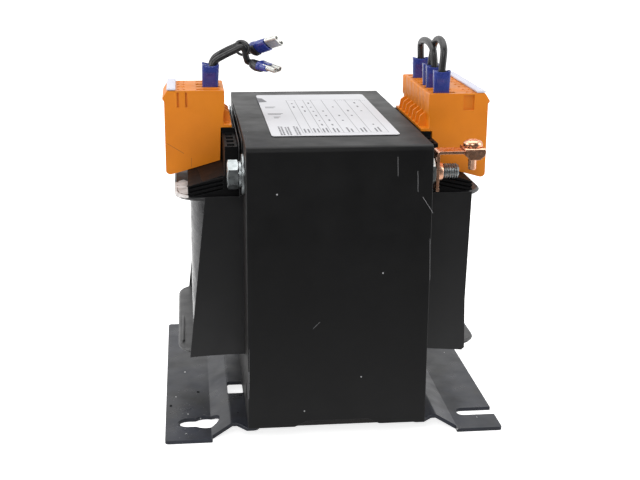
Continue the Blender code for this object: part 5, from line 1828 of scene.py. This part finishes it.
@dataclass
class RatingLabel:
    """The plain label with generic table rules and bars, torn at its back left corner."""

    edge: float = 0.00005
    height: float = 0.00002
    rules: tuple[float, ...] = (-0.0150, -0.0100, -0.0050, -0.0005, 0.0060, 0.0140, 0.0200, 0.0290)
    rule_run: Plane = (-0.0570, 0.0480)
    rule_width: float = 0.0003
    dots: int = 16
    dot_row: Plane = (0.0130, 0.0190)
    dot: Line = ((0.0, 0.0440), (0.0, 0.0450), 0.0004)
    seed: int = 4
    widest: float = 0.0012
    column_share: float = 0.26
    heading_y: float = -0.0555
    heading_lengths: Plane = (0.009, 0.014)
    figure_rows: tuple[float, ...] = (-0.0360, -0.0230, -0.0080, 0.0070, 0.0210, 0.0340)
    figure_lengths: Plane = (0.002, 0.005)
    empty_share: float = 0.45
    word_columns: tuple[float, ...] = (-0.0262, -0.0228, -0.0182)
    word_lines: Plane = (0.0, 0.0014)
    word_run: Plane = (-0.0615, -0.0400)
    word_lengths: Plane = (0.0015, 0.0045)
    word_width: float = 0.0009
    titles: tuple[Point, ...] = (
        (-0.0290, -0.0230, 0.0245), (-0.0290, -0.0206, 0.0020), (-0.0265, -0.0227, -0.0088),
    )
    title_step: float = -0.0030
    title_indent: float = 0.0012
    title_width: float = 0.0014
    torn: tuple[Plane, ...] = (
        (-0.0318, 0.0410), (-0.0266, 0.0425), (-0.0273, 0.0480), (-0.0281, 0.0520), (-0.0288, 0.0557),
        (-0.0318, 0.0580),
    )

    def build(self) -> None:
        """Soften the sheet and print its rules and bars."""
        softened("rating_label", LABEL, self.edge, steps=1)
        chance = random.Random(self.seed)
        bars = [*self.table(chance), *self.words(chance), *self.title_bars()]
        top = level_face(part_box("rating_label")[1][2])
        top.mark("label_rules", FAINT_PRINT, self.grid(), self.height)
        top.mark("label_bars", PRINT, bars, self.height)
        top.mark("label_tear", PRINT, [self.torn], self.height)

    def grid(self) -> list[list[Plane]]:
        """Return the table's long rules, its frame's ends and a dotted box."""
        first, last = self.rule_run
        shapes = [strip((x, first), (x, last), self.rule_width) for x in self.rules]
        for y in (first, last):
            shapes.append(strip((self.rules[0], y), (self.rules[-1], y), self.rule_width))
        start, run = self.dot_row
        (_, low), (_, high), width = self.dot
        for step in range(self.dots):
            x = start + run * step / (self.dots - 1)
            shapes.append(strip((x, low), (x, high), width))
        return shapes

    def table(self, chance: random.Random) -> list[list[Plane]]:
        """Return the bars that stand for a heading and figures between each two rules."""
        shapes = []
        for left, right in zip(self.rules, self.rules[1:]):
            middle = (left + right) / 2
            wide = min(self.widest, (right - left) * self.column_share)
            for x in (middle - wide * 0.8, middle + wide * 0.8):
                end = self.heading_y + chance.uniform(*self.heading_lengths)
                shapes.append(strip((x, self.heading_y), (x, end), wide * 0.7))
            for y in self.figure_rows:
                if chance.random() < self.empty_share:
                    continue
                end = y + chance.uniform(*self.figure_lengths)
                shapes.append(strip((middle, y), (middle, end), wide * 0.8))
        return shapes

    def words(self, chance: random.Random) -> list[list[Plane]]:
        """Return the bars that stand for the lines of words beside the table."""
        shapes = []
        for column in self.word_columns:
            for shift in self.word_lines:
                y, last = self.word_run
                while y < last:
                    run = chance.uniform(*self.word_lengths)
                    shapes.append(strip((column + shift, y), (column + shift, y + run), self.word_width))
                    y += run + self.word_width
        return shapes

    def title_bars(self) -> list[list[Plane]]:
        """Return the pairs of bars across the label that stand for its titles."""
        shapes = []
        for left, right, y in self.titles:
            second = y + self.title_step
            shapes.append(strip((left, y), (right, y), self.title_width))
            shapes.append(strip((left, second), (right - self.title_indent, second), self.title_width))
        return shapes


def main() -> None:
    """Build the transformer piece by piece."""
    logging.basicConfig(level=logging.INFO, format="%(name)s: %(message)s")
    parts = (
        Studio(), LeadPair(), Jumpers(), FrameSheets(), LaminatedCore(), Coil(), Spool(),
        TerminalRow(Side.LEFT, 4, LEFT_BLOCK_SCRATCHES), TerminalRow(Side.RIGHT, 8), Fasteners(),
        EarthPoint(), RatingLabel(),
    )
    for part in parts:
        part.build()
        LOG.info("%s is built", type(part).__name__)
    bpy.context.scene.view_settings.view_transform = "Standard"


if __name__ == "__main__":
    main()
